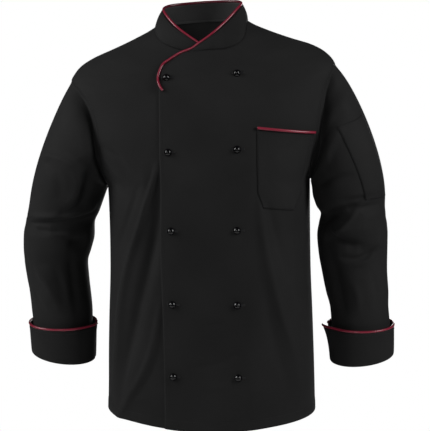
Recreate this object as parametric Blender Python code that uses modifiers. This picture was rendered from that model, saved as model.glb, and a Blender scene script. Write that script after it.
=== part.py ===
"""Double-breasted chef jacket with long sleeves, filled out as it is when worn.

Metres, +Z up. The origin lies between the shoulders, at the height where the collar
seam meets the shoulder seams. The front faces -Y and the wearer's left is +X.
Every piece of cloth is a wall around an open hollow: neck, hem and cuffs are open.
"""

import math

import bmesh
import bpy
from mathutils import Vector

# Cloth and seams
CLOTH = 0.0015           # one layer of twill with its turned edges
POCKET_CLOTH = 0.0012
POCKET_STAND = 0.0009    # a patch's folded-under edges hold it this far off its panel
COLLAR_CLOTH = 0.0020    # two layers and an interlining
CUFF_CLOTH = 0.0018
SEAM = 0.0003            # between two pieces that are sewn together
COLLAR_SEAM = 0.0006
EDGE_CELL = 0.003        # the narrow cell along each seam, which keeps the wall's end square

# Body
NECK_HALF = 0.0868
NECK_DROP = 0.045
NECK_POWER = {"left": 3.4, "right": 1.75}   # how square each half of the neckline is
HEM_LEVEL = -0.731       # at the side seams
HEM_FRONT_DROP = 0.0195
HEM_BACK_DROP = 0.006
FLARE_TOP = -0.45        # the hem's drop eases in below this level
LAP = 0.0028             # the upper front lies this far outside the lower one
LAP_MARGIN = 0.006       # and keeps that height this far past the lower one's edge
LAP_EASE = 0.045         # over which it comes down to the body
NECK_LAP = 0.0028        # more at the neck, where the lower collar's piping passes under
NECK_LAP_HALF = 0.018
NECK_LAP_EASE = 0.035
ARMHOLE_TOP = -0.088
ARMHOLE_FOOT = -0.295
ARMHOLE_SQUARENESS = 0.7

# Trim
PIPING = 0.0020          # radius
POCKET_PIPING = 0.0023
BUTTON_RADIUS = 0.0080
BUTTON_HEIGHT = 0.0062
BUTTON_WAIST = 0.94      # width just above the foot, as a share of the widest
BUTTON_FOOT = 0.72
BUTTON_RIM = 0.3         # height of the widest place, as a share of the height
BUTTON_ARC = (62, 36, 12)
BUTTON_STEPS = 12
BUTTONS = (              # level, x of the wearer's left one, x of the right one
    (-0.0886, 0.0715, -0.0575),
    (-0.2240, 0.0670, -0.0582),
    (-0.3710, 0.0615, -0.0584),
    (-0.5080, 0.0606, -0.0582),
    (-0.6427, 0.0616, -0.0576),
)

# Cross-sections of the body, top to bottom
TORSO_COLUMNS = ("level", "half_width", "front", "back", "power", "tilt", "shift", "lean")
TORSO = (
    (0.006, 0.0768, 0.050, 0.053, 2.00, 0.070, 0.0035, 0.065),
    (0.000, 0.0868, 0.052, 0.055, 2.00, 0.070, 0.0035, 0.065),
    (-0.008, 0.100, 0.054, 0.059, 2.00, 0.070, 0.003, 0.065),
    (-0.016, 0.117, 0.057, 0.064, 2.02, 0.068, 0.003, 0.065),
    (-0.024, 0.135, 0.060, 0.070, 2.05, 0.066, 0.003, 0.065),
    (-0.038, 0.170, 0.066, 0.080, 2.10, 0.060, 0.003, 0.065),
    (-0.051, 0.205, 0.072, 0.088, 2.15, 0.056, 0.004, 0.065),
    (-0.065, 0.229, 0.079, 0.095, 2.20, 0.052, 0.004, 0.065),
    (-0.080, 0.243, 0.088, 0.102, 2.25, 0.046, 0.005, 0.065),
    (-0.089, 0.248, 0.092, 0.105, 2.27, 0.044, 0.005, 0.065),
    (-0.102, 0.250, 0.100, 0.110, 2.30, 0.040, 0.006, 0.063),
    (-0.122, 0.247, 0.108, 0.115, 2.30, 0.036, 0.007, 0.060),
    (-0.151, 0.242, 0.116, 0.119, 2.30, 0.030, 0.009, 0.058),
    (-0.187, 0.234, 0.124, 0.121, 2.30, 0.024, 0.011, 0.056),
    (-0.231, 0.220, 0.131, 0.121, 2.30, 0.016, 0.013, 0.050),
    (-0.262, 0.206, 0.136, 0.119, 2.30, 0.010, 0.015, 0.042),
    (-0.295, 0.191, 0.139, 0.116, 2.30, 0.004, 0.017, 0.036),
    (-0.380, 0.190, 0.140, 0.109, 2.30, 0.000, 0.019, 0.020),
    (-0.450, 0.1905, 0.140, 0.105, 2.30, 0.000, 0.0200, 0.010),
    (-0.550, 0.194, 0.142, 0.108, 2.30, 0.000, 0.0210, 0.005),
    (-0.650, 0.197, 0.146, 0.115, 2.28, 0.000, 0.0220, 0.001),
    (-0.770, 0.200, 0.151, 0.123, 2.25, 0.000, 0.0225, -0.006),
)

# The flap's leading edge: how far it reaches past the middle of the front
LEADING_COLUMNS = ("level", "reach")
LEADING_EDGE = (
    (0.000, 0.0135),
    (-0.045, 0.0135),
    (-0.0474, 0.0285),
    (-0.053, 0.0412),
    (-0.0603, 0.0540),
    (-0.0655, 0.0622),
    (-0.0755, 0.0675),
    (-0.0853, 0.0706),
    (-0.100, 0.0710),
    (-0.164, 0.0730),
    (-0.275, 0.0757),
    (-0.406, 0.0795),
    (-0.574, 0.0758),
    (-0.780, 0.0730),
)

# How far the armhole seam stands out from the side, front to back
ARMHOLE_HALF_DEPTH = {
    ("left", "front"): 0.060,
    ("right", "front"): 0.077,
    ("left", "back"): 0.072,
    ("right", "back"): 0.072,
}

# The piped upper edge of the collar, by the angle round the neck from the front
COLLAR_EDGE_COLUMNS = ("turn", "height")
COLLAR_EDGE = (
    (-14.0, -0.0450),
    (-11.0, -0.0442),
    (0.0, -0.0352),
    (20.0, -0.0172),
    (39.0, -0.0003),
    (55.0, 0.0140),
    (70.0, 0.0245),
    (90.0, 0.0312),
    (130.0, 0.0365),
    (180.0, 0.0380),
)
COLLAR_EDGE_HALF = 0.0752
COLLAR_EDGE_SHIFT = 0.0048   # the collar leans to the wearer's left
COLLAR_EDGE_FRONT = 0.064
COLLAR_EDGE_BACK = 0.046
COLLAR_BULGE = 0.0025
COLLAR_FULL = 0.030      # where the collar is lower than this it bulges less
COLLAR_UPRIGHT = 0.020   # where the collar is lower than this it stands straight on its seam

# Sleeve rings below the armhole, top to bottom. out is measured from the middle plane
RING_COLUMNS = ("level", "out", "half_width", "y", "half_depth", "pitch", "roll")
RINGS = {
    "left": (
        (-0.324, 0.2822, 0.0675, 0.002, 0.074, 0.00, 0.00),
        (-0.340, 0.2850, 0.0646, 0.003, 0.072, 0.00, 0.00),
        (-0.355, 0.2900, 0.0610, 0.003, 0.070, 0.00, 0.00),
        (-0.372, 0.2898, 0.0640, 0.003, 0.068, 0.00, 0.00),
        (-0.395, 0.2890, 0.0665, 0.003, 0.067, 0.00, 0.00),
        (-0.430, 0.2905, 0.0648, 0.000, 0.063, 0.00, 0.00),
        (-0.462, 0.2936, 0.0618, -0.003, 0.058, 0.00, 0.00),
        (-0.500, 0.2990, 0.0592, -0.006, 0.054, 0.00, 0.00),
        (-0.535, 0.3040, 0.0550, -0.009, 0.051, 0.05, 0.00),
        (-0.570, 0.3070, 0.0552, -0.011, 0.050, 0.11, 0.00),
        (-0.628, 0.3095, 0.0552, -0.012, 0.050, 0.16, 0.12),
    ),
    "right": (
        (-0.324, 0.2537, 0.0713, 0.002, 0.074, 0.00, 0.00),
        (-0.355, 0.2622, 0.0685, 0.003, 0.070, 0.00, 0.00),
        (-0.378, 0.2708, 0.0675, 0.003, 0.068, 0.00, 0.00),
        (-0.402, 0.2718, 0.0680, 0.003, 0.066, 0.00, 0.00),
        (-0.430, 0.2750, 0.0648, 0.000, 0.062, 0.00, 0.00),
        (-0.450, 0.2770, 0.0610, -0.002, 0.058, 0.00, 0.00),
        (-0.480, 0.2740, 0.0598, -0.004, 0.055, 0.00, 0.00),
        (-0.510, 0.2695, 0.0587, -0.006, 0.053, 0.02, 0.00),
        (-0.540, 0.2660, 0.0585, -0.009, 0.051, 0.06, 0.00),
        (-0.570, 0.2640, 0.0572, -0.011, 0.050, 0.11, 0.00),
        (-0.628, 0.2630, 0.0565, -0.012, 0.050, 0.16, 0.12),
    ),
}
SLEEVE_TOP = -0.324
SLEEVE_END = {"left": -0.621, "right": -0.627}
ARM_RADIUS = 0.065       # turns degrees round the arm into metres for the folds
CUFF_COVER = 0.11        # no folds under the cuff: they fade out above it
CUFF_FADE = 0.05
CAP_ROWS = 8
SLEEVE_STEP = 0.019
RING_POINTS = 24

# The direction in which the sleeve leaves the armhole, as a slope below the horizontal
CAP = {
    "left": {"top_slope": 50.0, "foot_slope": 56.0, "roll_out": 0.42, "pull": 0.27},
    "right": {"top_slope": 63.0, "foot_slope": 56.0, "roll_out": 0.42, "pull": 0.33},
}

# Cuff: its section from the seam inside the sleeve's end, round the fold and up
CUFF_COLUMNS = ("lift", "rise")
CUFF_SECTION = (
    (-0.0016, -0.0004),
    (-0.0016, -0.0030),
    (0.0000, -0.0056),
    (0.0030, -0.0058),
    (0.0054, -0.0035),
    (0.0060, 0.0030),
    (0.0068, 0.0250),
    (0.0078, 0.0550),
)
CUFF_POINTS = 24
CUFF_VENT = 6.0          # degrees each side of the vent, which faces the body
CUFF_FLARE = {"left": 0.009, "right": 0.003}
CUFF_FLARE_SPAN = 40.0

# Chest pocket, on the wearer's left front
POCKET_INNER = 0.104     # its edge towards the middle
POCKET_OUTER = 0.204
POCKET_MOUTH = -0.1905
POCKET_SLANT = 0.17
POCKET_HEIGHT = 0.142
POCKET_CORNER = (0.011, 0.028)
POCKET_LEAN = 0.006      # its inner edge comes this much nearer the middle at its foot
POCKET_NARROWING = 0.031
POCKET_NARROWING_CURVE = 1.6
POCKET_CELLS = (0.0, 0.2, 0.4, 0.56, 0.70, 0.82, 0.92, 1.0)
POCKET_DOWNS = (0.0, 0.020, 0.043, 0.066, 0.090)

# Pen pocket on the wearer's left sleeve. Its foot follows the sleeve's own rows
PEN_FRONT_TURN = (67.0, 63.0)    # degrees round the arm, at its mouth and at its foot
PEN_BACK_TURN = (14.0, 11.0)
PEN_MOUTH = (-0.1850, -0.1655)   # height of the mouth's front and back ends
PEN_INNER_TURNS = (60.0, 45.0, 30.0)
PEN_FOOT = 0.98                  # as a share of the sleeve cap
PEN_ROWS = 5
PEN_STAND = 0.0013

# The largest folds. Body: x and level of both ends; sleeves: angle and level
FOLD_COLUMNS = ("face", "from_at", "from_level", "to_at", "to_level", "height", "width")
BODY_FOLDS = (
    ("front", -0.108, -0.300, -0.136, -0.401, 0.0070, 0.024),
    ("front", -0.136, -0.401, -0.158, -0.490, 0.0060, 0.022),
    ("front", -0.158, -0.490, -0.180, -0.610, 0.0050, 0.022),
    ("front", -0.098, -0.400, -0.112, -0.560, -0.0050, 0.018),
    ("front", -0.100, -0.570, -0.138, -0.646, 0.0055, 0.018),
    ("front", -0.138, -0.646, -0.162, -0.720, 0.0065, 0.020),
    ("front", 0.108, -0.385, 0.143, -0.515, 0.0065, 0.022),
    ("front", 0.143, -0.515, 0.180, -0.658, 0.0070, 0.022),
    ("front", 0.112, -0.560, 0.125, -0.640, -0.0045, 0.018),
    ("back", 0.130, -0.290, 0.085, -0.430, 0.0060, 0.026),
    ("back", -0.135, -0.310, -0.080, -0.470, 0.0065, 0.026),
    ("back", 0.030, -0.480, 0.050, -0.720, -0.0050, 0.026),
)
SLEEVE_FOLDS = {
    "left": (
        ("", 152.0, -0.368, 86.0, -0.340, -0.0065, 0.015),
        ("", 86.0, -0.340, 31.0, -0.326, -0.0050, 0.014),
        ("", 135.0, -0.398, 90.0, -0.407, -0.0050, 0.013),
        ("", 90.0, -0.407, 48.0, -0.423, -0.0045, 0.013),
        ("", 140.0, -0.385, 70.0, -0.372, 0.0045, 0.012),
        ("", 124.0, -0.455, 119.0, -0.540, -0.0040, 0.018),
        ("", 88.0, -0.200, 114.0, -0.260, -0.0060, 0.018),
        ("", 205.0, -0.365, 290.0, -0.385, -0.0055, 0.015),
        ("", 225.0, -0.420, 300.0, -0.405, -0.0040, 0.015),
    ),
    "right": (
        ("", 5.0, -0.374, 71.0, -0.382, -0.0065, 0.012),
        ("", 71.0, -0.382, 155.0, -0.374, -0.0065, 0.012),
        ("", 60.0, -0.262, 116.0, -0.327, 0.0060, 0.018),
        ("", 100.0, -0.255, 165.0, -0.308, -0.0060, 0.016),
        ("", 105.0, -0.352, 150.0, -0.345, 0.0040, 0.012),
        ("", 120.0, -0.410, 150.0, -0.418, -0.0055, 0.014),
        ("", 76.0, -0.461, 80.0, -0.518, 0.0035, 0.016),
        ("", 205.0, -0.370, 300.0, -0.380, -0.0055, 0.015),
        ("", 215.0, -0.290, 275.0, -0.250, -0.0050, 0.016),
    ),
}
FOLD_FADE = 0.35         # a fold dies out this near the side seam, as a cosine
LAP_HALF = 0.088         # the two fronts lie flat on each other over this half width
FOLD_EASE = 0.022        # past it, the folds rise to their full height over this

# Rows and columns of the walls
YOKE_LEVELS = (-0.008, -0.016, -0.024, -0.033, -0.0425, -0.053, -0.0655, -0.077)
NECK_LEVELS = (-0.0015, -0.008, -0.016, -0.024, -0.033, -0.0385, -0.0425, -NECK_DROP)
CORNER_LEVELS = (-0.0478, -0.053, -0.0603, -0.0655, -0.077)   # round the flap's slanted corner
ARMHOLE_STEPS = 12
BODY_ROW = 0.034
FRONT_CELLS = 12
BACK_CELLS = 20
COLLAR_ROWS = 3
COLLAR_SPAN = 0.022      # the widest column of the collar

# The flap's piping: the rows it follows, then its end curling in over the flap
PIPED_LEVELS = CORNER_LEVELS + (-0.088,)
CURL = (                 # reach, level, height over the flap
    (0.0728, -0.0955, 0.0022),
    (0.0705, -0.1015, 0.0026),
    (0.0675, -0.1070, 0.0026),
    (0.0640, -0.1120, 0.0026),
)

BLACK = (0.018, 0.018, 0.019)
RED = (0.50, 0.012, 0.035)
GLOSS = (0.012, 0.012, 0.013)


def smooth(value):
    """Eases from 0 to 1 as value does."""
    value = min(max(value, 0.0), 1.0)
    return value * value * (3.0 - 2.0 * value)


class Sizes:
    """Sizes against a first column, joined by smooth curves that never overshoot."""

    def __init__(self, columns, rows):
        rows = sorted(rows)
        self.columns = columns[1:]
        self.at = [row[0] for row in rows]
        self.rows = [row[1:] for row in rows]
        self.slopes = [self._slope(i) for i in range(len(rows))]

    def _chord(self, i):
        span = self.at[i + 1] - self.at[i]
        return [(b - a) / span for a, b in zip(self.rows[i], self.rows[i + 1])]

    def _slope(self, i):
        last = len(self.at) - 1
        if i in (0, last):
            return self._chord(min(i, last - 1))
        pairs = zip(self._chord(i - 1), self._chord(i))
        return [2 * a * b / (a + b) if a * b > 0 else 0.0 for a, b in pairs]

    def __call__(self, at):
        i = 0
        while i < len(self.at) - 2 and at > self.at[i + 1]:
            i += 1
        span = self.at[i + 1] - self.at[i]
        t = (at - self.at[i]) / span
        values = {}
        for k, name in enumerate(self.columns):
            a, b = self.rows[i][k], self.rows[i + 1][k]
            slope_a, slope_b = self.slopes[i][k] * span, self.slopes[i + 1][k] * span
            if t < 0:
                values[name] = a + slope_a * t
            elif t > 1:
                values[name] = b + slope_b * (t - 1)
            else:
                values[name] = (
                    a * (1 + 2 * t) * (1 - t) ** 2
                    + slope_a * t * (1 - t) ** 2
                    + b * t * t * (3 - 2 * t)
                    + slope_b * t * t * (t - 1)
                )
        return values


torso_sizes = Sizes(TORSO_COLUMNS, TORSO)
leading_sizes = Sizes(LEADING_COLUMNS, LEADING_EDGE)
collar_sizes = Sizes(COLLAR_EDGE_COLUMNS, COLLAR_EDGE)
ring_sizes = {side: Sizes(RING_COLUMNS, rows) for side, rows in RINGS.items()}
SIGN = {"left": 1, "right": -1}


# ---------------------------------------------------------------- surfaces

def posed(x, y, level, size):
    """A point of the body's own section in its place: tilted, shifted and leaning."""
    return Vector((x + size["shift"], y, level + size["tilt"] * y + size["lean"] * x))


def torso_frame(turn, level):
    """The body's section at a turn from the front middle, without folds."""
    size = torso_sizes(level)
    depth = size["front"] if math.cos(turn) > 0 else size["back"]
    across = abs(math.sin(turn) / size["half_width"]) ** size["power"]
    along = abs(math.cos(turn) / depth) ** size["power"]
    reach = (across + along) ** (-1 / size["power"])
    return posed(reach * math.sin(turn), -reach * math.cos(turn), level, size)


def outward(surface, a, b, step_a, step_b):
    """Unit normal of a surface given by two numbers, pointing away from the hollow."""
    along_a = surface(a + step_a, b) - surface(a - step_a, b)
    along_b = surface(a, b + step_b) - surface(a, b - step_b)
    return along_a.cross(along_b).normalized()


def segment_distance(point, start, end):
    along = end - start
    share = min(max((point - start).dot(along) / along.length_squared, 0.0), 1.0)
    return (point - start - along * share).length


def fold_height(folds, face, at, level, width_per_unit):
    """How far the folds raise the cloth there."""
    total = 0.0
    here = Vector((at * width_per_unit, level))
    for fold in (dict(zip(FOLD_COLUMNS, row)) for row in folds):
        if fold["face"] != face:
            continue
        start = Vector((fold["from_at"] * width_per_unit, fold["from_level"]))
        end = Vector((fold["to_at"] * width_per_unit, fold["to_level"]))
        away = segment_distance(here, start, end) / fold["width"]
        total += fold["height"] * math.exp(-away * away)
    return total


def torso(turn, level, lift=0.0):
    """A point of the body's outer face, moved out by lift."""
    base = torso_frame(turn, level)
    normal = outward(torso_frame, turn, level, 1e-3, 1e-4)
    facing = math.cos(turn)
    face = "front" if facing > 0 else "back"
    x = base.x - torso_sizes(level)["shift"]
    raised = fold_height(BODY_FOLDS, face, x, level, 1.0) * smooth(abs(facing) / FOLD_FADE)
    if face == "front":
        raised *= smooth((abs(x) - LAP_HALF) / FOLD_EASE)
    return base + normal * (raised + lift)


def turn_at(x, level, face="front"):
    """The turn at which the body's section reaches x."""
    size = torso_sizes(level)
    share = min(abs(x) / size["half_width"], 1.0)
    depth = size[face] * (1 - share ** size["power"]) ** (1 / size["power"])
    turn = math.atan2(abs(x), depth)
    turn = turn if face == "front" else math.pi - turn
    return math.copysign(turn, x)


def armhole_turn(side, face, level):
    """The turn of the armhole seam at a level."""
    middle = (ARMHOLE_TOP + ARMHOLE_FOOT) / 2
    half = (ARMHOLE_TOP - ARMHOLE_FOOT) / 2
    share = min(max((level - middle) / half, -1.0), 1.0)
    round_share = math.sqrt(1 - share * share) ** ARMHOLE_SQUARENESS
    depth = ARMHOLE_HALF_DEPTH[side, face] * round_share
    size = torso_sizes(level)
    x = size["half_width"] * (1 - (depth / size[face]) ** size["power"]) ** (1 / size["power"])
    return SIGN[side] * abs(math.atan2(x, depth if face == "front" else -depth))


def armhole_level(step):
    """Levels at even angles round the armhole, from 0 at the top."""
    middle = (ARMHOLE_TOP + ARMHOLE_FOOT) / 2
    half = (ARMHOLE_TOP - ARMHOLE_FOOT) / 2
    return middle + half * math.cos(math.pi * step / ARMHOLE_STEPS)


def lap_lift(x, level):
    """How far the wearer's left front is lifted over the right one."""
    under = leading_sizes(level)["reach"]
    lap = LAP * (1 - smooth((x - under - LAP_MARGIN) / LAP_EASE))
    at_neck = (1 - smooth((abs(x) - NECK_LAP_HALF) / NECK_LAP_EASE))
    at_neck *= 1 - smooth((-level - NECK_DROP) / NECK_LAP_EASE)
    return lap + NECK_LAP * at_neck


def hem_drop(turn, level):
    """The hem hangs lower at the front and back than at the sides."""
    share = min(max((FLARE_TOP - level) / (FLARE_TOP - HEM_LEVEL), 0.0), 1.0)
    facing = math.cos(turn)
    drop = HEM_FRONT_DROP if facing > 0 else HEM_BACK_DROP
    return drop * facing * facing * share * share


def ring_point(side, turn, level):
    """A point of the sleeve below the cap. Turn 0 is the outer side and 90 the front."""
    size = ring_sizes[side](level)
    out = size["half_width"] * math.cos(turn)
    forward = -size["half_depth"] * math.sin(turn)
    z = level + size["pitch"] * forward + size["roll"] * out
    return Vector((SIGN[side] * (size["out"] + out), size["y"] + forward, z))


def armhole_point(side, turn):
    """A point of the armhole seam, by the turn round the sleeve."""
    turn = turn % (2 * math.pi)
    face = "front" if turn < math.pi else "back"
    share = math.cos(turn)
    middle = (ARMHOLE_TOP + ARMHOLE_FOOT) / 2
    level = middle + share * (ARMHOLE_TOP - ARMHOLE_FOOT) / 2
    return torso(armhole_turn(side, face, level), level)


def cap_point(side, turn, share):
    """A point of the sleeve cap, between the armhole at 0 and the first ring at 1."""
    shape = CAP[side]
    start = armhole_point(side, turn)
    end = ring_point(side, turn, SLEEVE_TOP)
    top_share = (1 + math.cos(turn)) / 2
    slope = math.radians(
        shape["top_slope"] * top_share + shape["foot_slope"] * (1 - top_share)
    )
    leave = Vector((
        SIGN[side] * math.cos(slope),
        -shape["roll_out"] * math.sin(turn),
        -math.sin(slope),
    )).normalized()
    arrive = (ring_point(side, turn, SLEEVE_TOP - 0.01) - end).normalized()
    pull = (end - start).length * shape["pull"]
    clear = Vector((SIGN[side] * SEAM * (1 - top_share) ** 2, 0.0, 0.0))
    first = start + leave * SEAM + clear
    second = first + leave * pull
    third = end - arrive * pull
    rest = 1 - share
    return (
        first * rest ** 3
        + second * 3 * rest * rest * share
        + third * 3 * rest * share * share
        + end * share ** 3
    )


def sleeve_frame(side, turn, place):
    """The sleeve without folds. place runs 0 to 1 over the cap, then on by metres."""
    if place <= 1:
        return cap_point(side, turn, place)
    return ring_point(side, turn, SLEEVE_TOP - (place - 1))


def sleeve_normal(side, turn, place):
    step = 1e-3
    around = sleeve_frame(side, turn + 0.02, place) - sleeve_frame(side, turn - 0.02, place)
    upper = max(place - step, 0.0)
    along = sleeve_frame(side, turn, place + step) - sleeve_frame(side, turn, upper)
    return (around.cross(along) * SIGN[side]).normalized()


def sleeve(side, turn, place, lift=0.0):
    """A point of the sleeve's outer face, moved out by lift."""
    base = sleeve_frame(side, turn, place)
    degrees = math.degrees(turn)
    degrees = degrees - 360 if degrees > 330 else degrees
    along = smooth(place * 2) if place < 1 else 1.0
    fading = smooth((place - 1 - (SLEEVE_TOP - SLEEVE_END[side]) + CUFF_COVER) / CUFF_FADE)
    raised = fold_height(SLEEVE_FOLDS[side], "", degrees, base.z, math.radians(ARM_RADIUS))
    raised *= along * (1 - fading)
    return base + sleeve_normal(side, turn, place) * (raised + lift)


# ---------------------------------------------------------------- building

def material(name, colour, roughness):
    made = bpy.data.materials.new(name)
    made.use_nodes = True
    shader = made.node_tree.nodes["Principled BSDF"]
    shader.inputs["Base Color"].default_value = (*colour, 1.0)
    shader.inputs["Roughness"].default_value = roughness
    shader.inputs["Metallic"].default_value = 0.0
    made.diffuse_color = (*colour, 1.0)
    return made


def add_object(name, data, finish):
    made = bpy.data.objects.new(name, data)
    made.data.materials.append(material(name + "_finish", *finish))
    jacket.objects.link(made)
    return made


def cloth(name, rows, thickness, around=False, finish=(BLACK, 0.85)):
    """A wall of cloth lofted through rows of points, thickened inwards."""
    bm = bmesh.new()
    lines = [[bm.verts.new(point) for point in row] for row in rows]
    for upper, lower in zip(lines, lines[1:]):
        count = len(upper) if around else len(upper) - 1
        for i in range(count):
            j = (i + 1) % len(upper)
            bm.faces.new((upper[i], lower[i], lower[j], upper[j]))
    mesh = bpy.data.meshes.new(name)
    bm.to_mesh(mesh)
    bm.free()
    mesh.shade_smooth()
    piece = add_object(name, mesh, finish)
    wall = piece.modifiers.new("wall", "SOLIDIFY")
    wall.thickness = thickness
    wall.offset = -1.0
    return piece


def tube(name, points, radius, finish=(RED, 0.45)):
    """A cord of piping along points."""
    curve = bpy.data.curves.new(name, "CURVE")
    curve.dimensions = "3D"
    curve.bevel_depth = radius
    curve.bevel_resolution = 1
    curve.use_fill_caps = True
    spline = curve.splines.new("POLY")
    spline.points.add(len(points) - 1)
    for place, point in zip(spline.points, points):
        place.co = (*point, 1.0)
    return add_object(name, curve, finish)


def beside(edge, normals, distance):
    """Points at a distance past an edge, in the cloth's own plane."""
    moved = []
    for i, point in enumerate(edge):
        along = edge[min(i + 1, len(edge) - 1)] - edge[max(i - 1, 0)]
        moved.append(point + along.cross(normals[i]).normalized() * distance)
    return moved


def row_turns(level, start, end, cells):
    """Turns along one row: even cells, with a narrow one beside each seam."""
    samples = 160
    turns = [start + (end - start) * i / samples for i in range(samples + 1)]
    points = [torso_frame(turn, level) for turn in turns]
    reached = [0.0]
    for a, b in zip(points, points[1:]):
        reached.append(reached[-1] + (b - a).length)
    length = reached[-1]
    narrow = min(EDGE_CELL, length / (cells + 2))
    inner = length - SEAM - 2 * narrow
    places = [SEAM / 2]
    places += [SEAM / 2 + narrow + inner * i / (cells - 2) for i in range(cells - 1)]
    places += [length - SEAM / 2]
    found, i = [], 0
    for place in places:
        while reached[i + 1] < place:
            i += 1
        share = (place - reached[i]) / (reached[i + 1] - reached[i])
        found.append(turns[i] + (turns[i + 1] - turns[i]) * share)
    return found


def body_levels():
    """Levels from the armhole's top down to the hem."""
    armhole = [armhole_level(step) for step in range(ARMHOLE_STEPS + 1)]
    count = round((ARMHOLE_FOOT - HEM_LEVEL) / BODY_ROW)
    below = [ARMHOLE_FOOT + (HEM_LEVEL - ARMHOLE_FOOT) * i / count for i in range(1, count + 1)]
    return armhole + below


def side_turn(side, face, level):
    """The outer boundary of a front or back: shoulder seam, armhole, then side seam."""
    if ARMHOLE_FOOT < level < ARMHOLE_TOP:
        return armhole_turn(side, face, level)
    return SIGN[side] * math.pi / 2


def neck_x(side, level):
    power = NECK_POWER[side]
    return NECK_HALF * max(1 - (-level / NECK_DROP) ** power, 0.0) ** (1 / power)


def front_start(side, level):
    """The inner boundary of a front, as a signed x: neckline, then leading edge."""
    if level > -NECK_DROP + 1e-6:
        return SIGN[side] * neck_x(side, level)
    return -SIGN[side] * leading_sizes(level)["reach"]


def front_levels():
    return list(NECK_LEVELS) + list(CORNER_LEVELS) + body_levels()


def front_lift(side, turn, level):
    if side == "right":
        return 0.0
    return lap_lift(torso_frame(turn, level).x - torso_sizes(level)["shift"], level)


def build_front(side):
    rows = []
    for level in front_levels():
        start = turn_at(front_start(side, level), level)
        end = side_turn(side, "front", level)
        turns = row_turns(level, start, end, FRONT_CELLS)
        if side == "right":
            turns.reverse()
        rows.append([
            torso(turn, level - hem_drop(turn, level), front_lift(side, turn, level))
            for turn in turns
        ])
    return cloth("front_" + side, rows, CLOTH)


def build_back():
    rows = []
    upper = [0.0] + [level for level in YOKE_LEVELS]
    for level in upper + body_levels():
        start = side_turn("left", "back", level)
        end = 2 * math.pi + side_turn("right", "back", level)
        turns = row_turns(level, start, end, BACK_CELLS)
        rows.append([torso(turn, level - hem_drop(turn, level)) for turn in turns])
    return cloth("back", rows, CLOTH)


def neck_seam():
    """The neck seam from the upper front round the back to the lower front."""
    seam = []
    for level in reversed(NECK_LEVELS):
        x = front_start("left", level)
        seam.append((turn_at(x, level), level, lap_lift(x, level)))
    back = row_turns(0.0, math.pi / 2, 3 * math.pi / 2, BACK_CELLS)
    seam += [(turn, 0.0, 0.0) for turn in back[1:-1]]
    for level in NECK_LEVELS:
        seam.append((2 * math.pi + turn_at(front_start("right", level), level), level, 0.0))
    return seam


def collar_top(plan_turn, lift):
    """A point of the collar's upper edge, by its angle round the neck."""
    facing = math.cos(plan_turn)
    degrees = math.degrees(plan_turn)
    folded = degrees if degrees <= 180 else 360 - degrees
    height = collar_sizes(folded)["height"]
    depth = COLLAR_EDGE_FRONT if facing > 0 else COLLAR_EDGE_BACK
    half = COLLAR_EDGE_HALF
    reach = math.hypot(math.sin(plan_turn) * half, facing * depth)
    share = (reach + lift) / reach
    x, y = half * math.sin(plan_turn) * share, -depth * facing * share
    return Vector((x + COLLAR_EDGE_SHIFT, y, height + torso_sizes(0.0)["lean"] * x))


def collar_feet():
    """The collar's lower edge, with the lift of each point. Long spans are divided."""
    seam = [(torso(turn, level, lift), lift) for turn, level, lift in neck_seam()]
    feet = []
    for (point, lift), (after, lift_after) in zip(seam, seam[1:]):
        count = math.ceil((after - point).length / COLLAR_SPAN)
        for i in range(count):
            share = i / count
            feet.append((point.lerp(after, share), lift + (lift_after - lift) * share))
    return feet + [seam[-1]]


def collar_rows():
    """Rows of the collar's outer face, from the upper edge down to the neck seam."""
    columns = []
    plan_turn = 0.0
    for foot, lift in collar_feet():
        before = plan_turn
        plan_turn = math.atan2(foot.x - COLLAR_EDGE_SHIFT, -foot.y)
        while plan_turn < before - math.pi:
            plan_turn += 2 * math.pi
        top = collar_top(plan_turn, lift)
        drawn_in = min((top.z - foot.z) / COLLAR_UPRIGHT, 1.0)
        top = Vector((*foot.xy.lerp(top.xy, drawn_in), top.z))
        rise = (top - foot).normalized()
        foot = foot + rise * COLLAR_SEAM
        radial = Vector((math.sin(plan_turn), -math.cos(plan_turn), 0.0))
        column = []
        for i in range(COLLAR_ROWS + 1):
            share = i / COLLAR_ROWS
            bulge = COLLAR_BULGE * 4 * share * (1 - share) * min((top - foot).length / COLLAR_FULL, 1.0)
            column.append(top.lerp(foot, share) + radial * bulge)
        columns.append(column)
    return [list(row) for row in zip(*columns)]


def build_collar():
    return cloth("collar", collar_rows(), COLLAR_CLOTH)


def build_collar_piping():
    """Along the collar's upper edge, then down the flap's slanted corner."""
    rows = collar_rows()
    edge, normals = [], []
    for i, top in enumerate(rows[0]):
        before = rows[0][max(i - 1, 0)]
        after = rows[0][min(i + 1, len(rows[0]) - 1)]
        normal = (after - before).cross(top - rows[1][i]).normalized()
        edge.append(top - normal * COLLAR_CLOTH / 2)
        normals.append(normal)
    collar_part = beside(edge, normals, -(PIPING + SEAM))
    flap_edge, flap_normals = [], []
    for level in PIPED_LEVELS:
        turn = turn_at(-leading_sizes(level)["reach"], level)
        lift = lap_lift(-leading_sizes(level)["reach"], level)
        flap_edge.append(torso(turn, level, lift))
        flap_normals.append(outward(torso_frame, turn, level, 1e-3, 1e-4))
    flap_part = beside(flap_edge, flap_normals, PIPING + SEAM)
    curl = []
    for reach, level, over in CURL:
        curl.append(torso(turn_at(-reach, level), level, lap_lift(-reach, level) + over))
    line = list(reversed(flap_part + curl)) + collar_part
    return tube("piping_collar", line, PIPING)



def sleeve_places(side):
    """Rows of a sleeve: shares of the cap, then metres down the arm."""
    cap = [i / CAP_ROWS for i in range(CAP_ROWS + 1)]
    length = SLEEVE_TOP - SLEEVE_END[side]
    count = round(length / SLEEVE_STEP)
    return cap + [1 + length * i / count for i in range(1, count + 1)]


def ring_turns(side):
    turns = [2 * math.pi * i / RING_POINTS for i in range(RING_POINTS)]
    return turns if side == "right" else turns[::-1]


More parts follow.
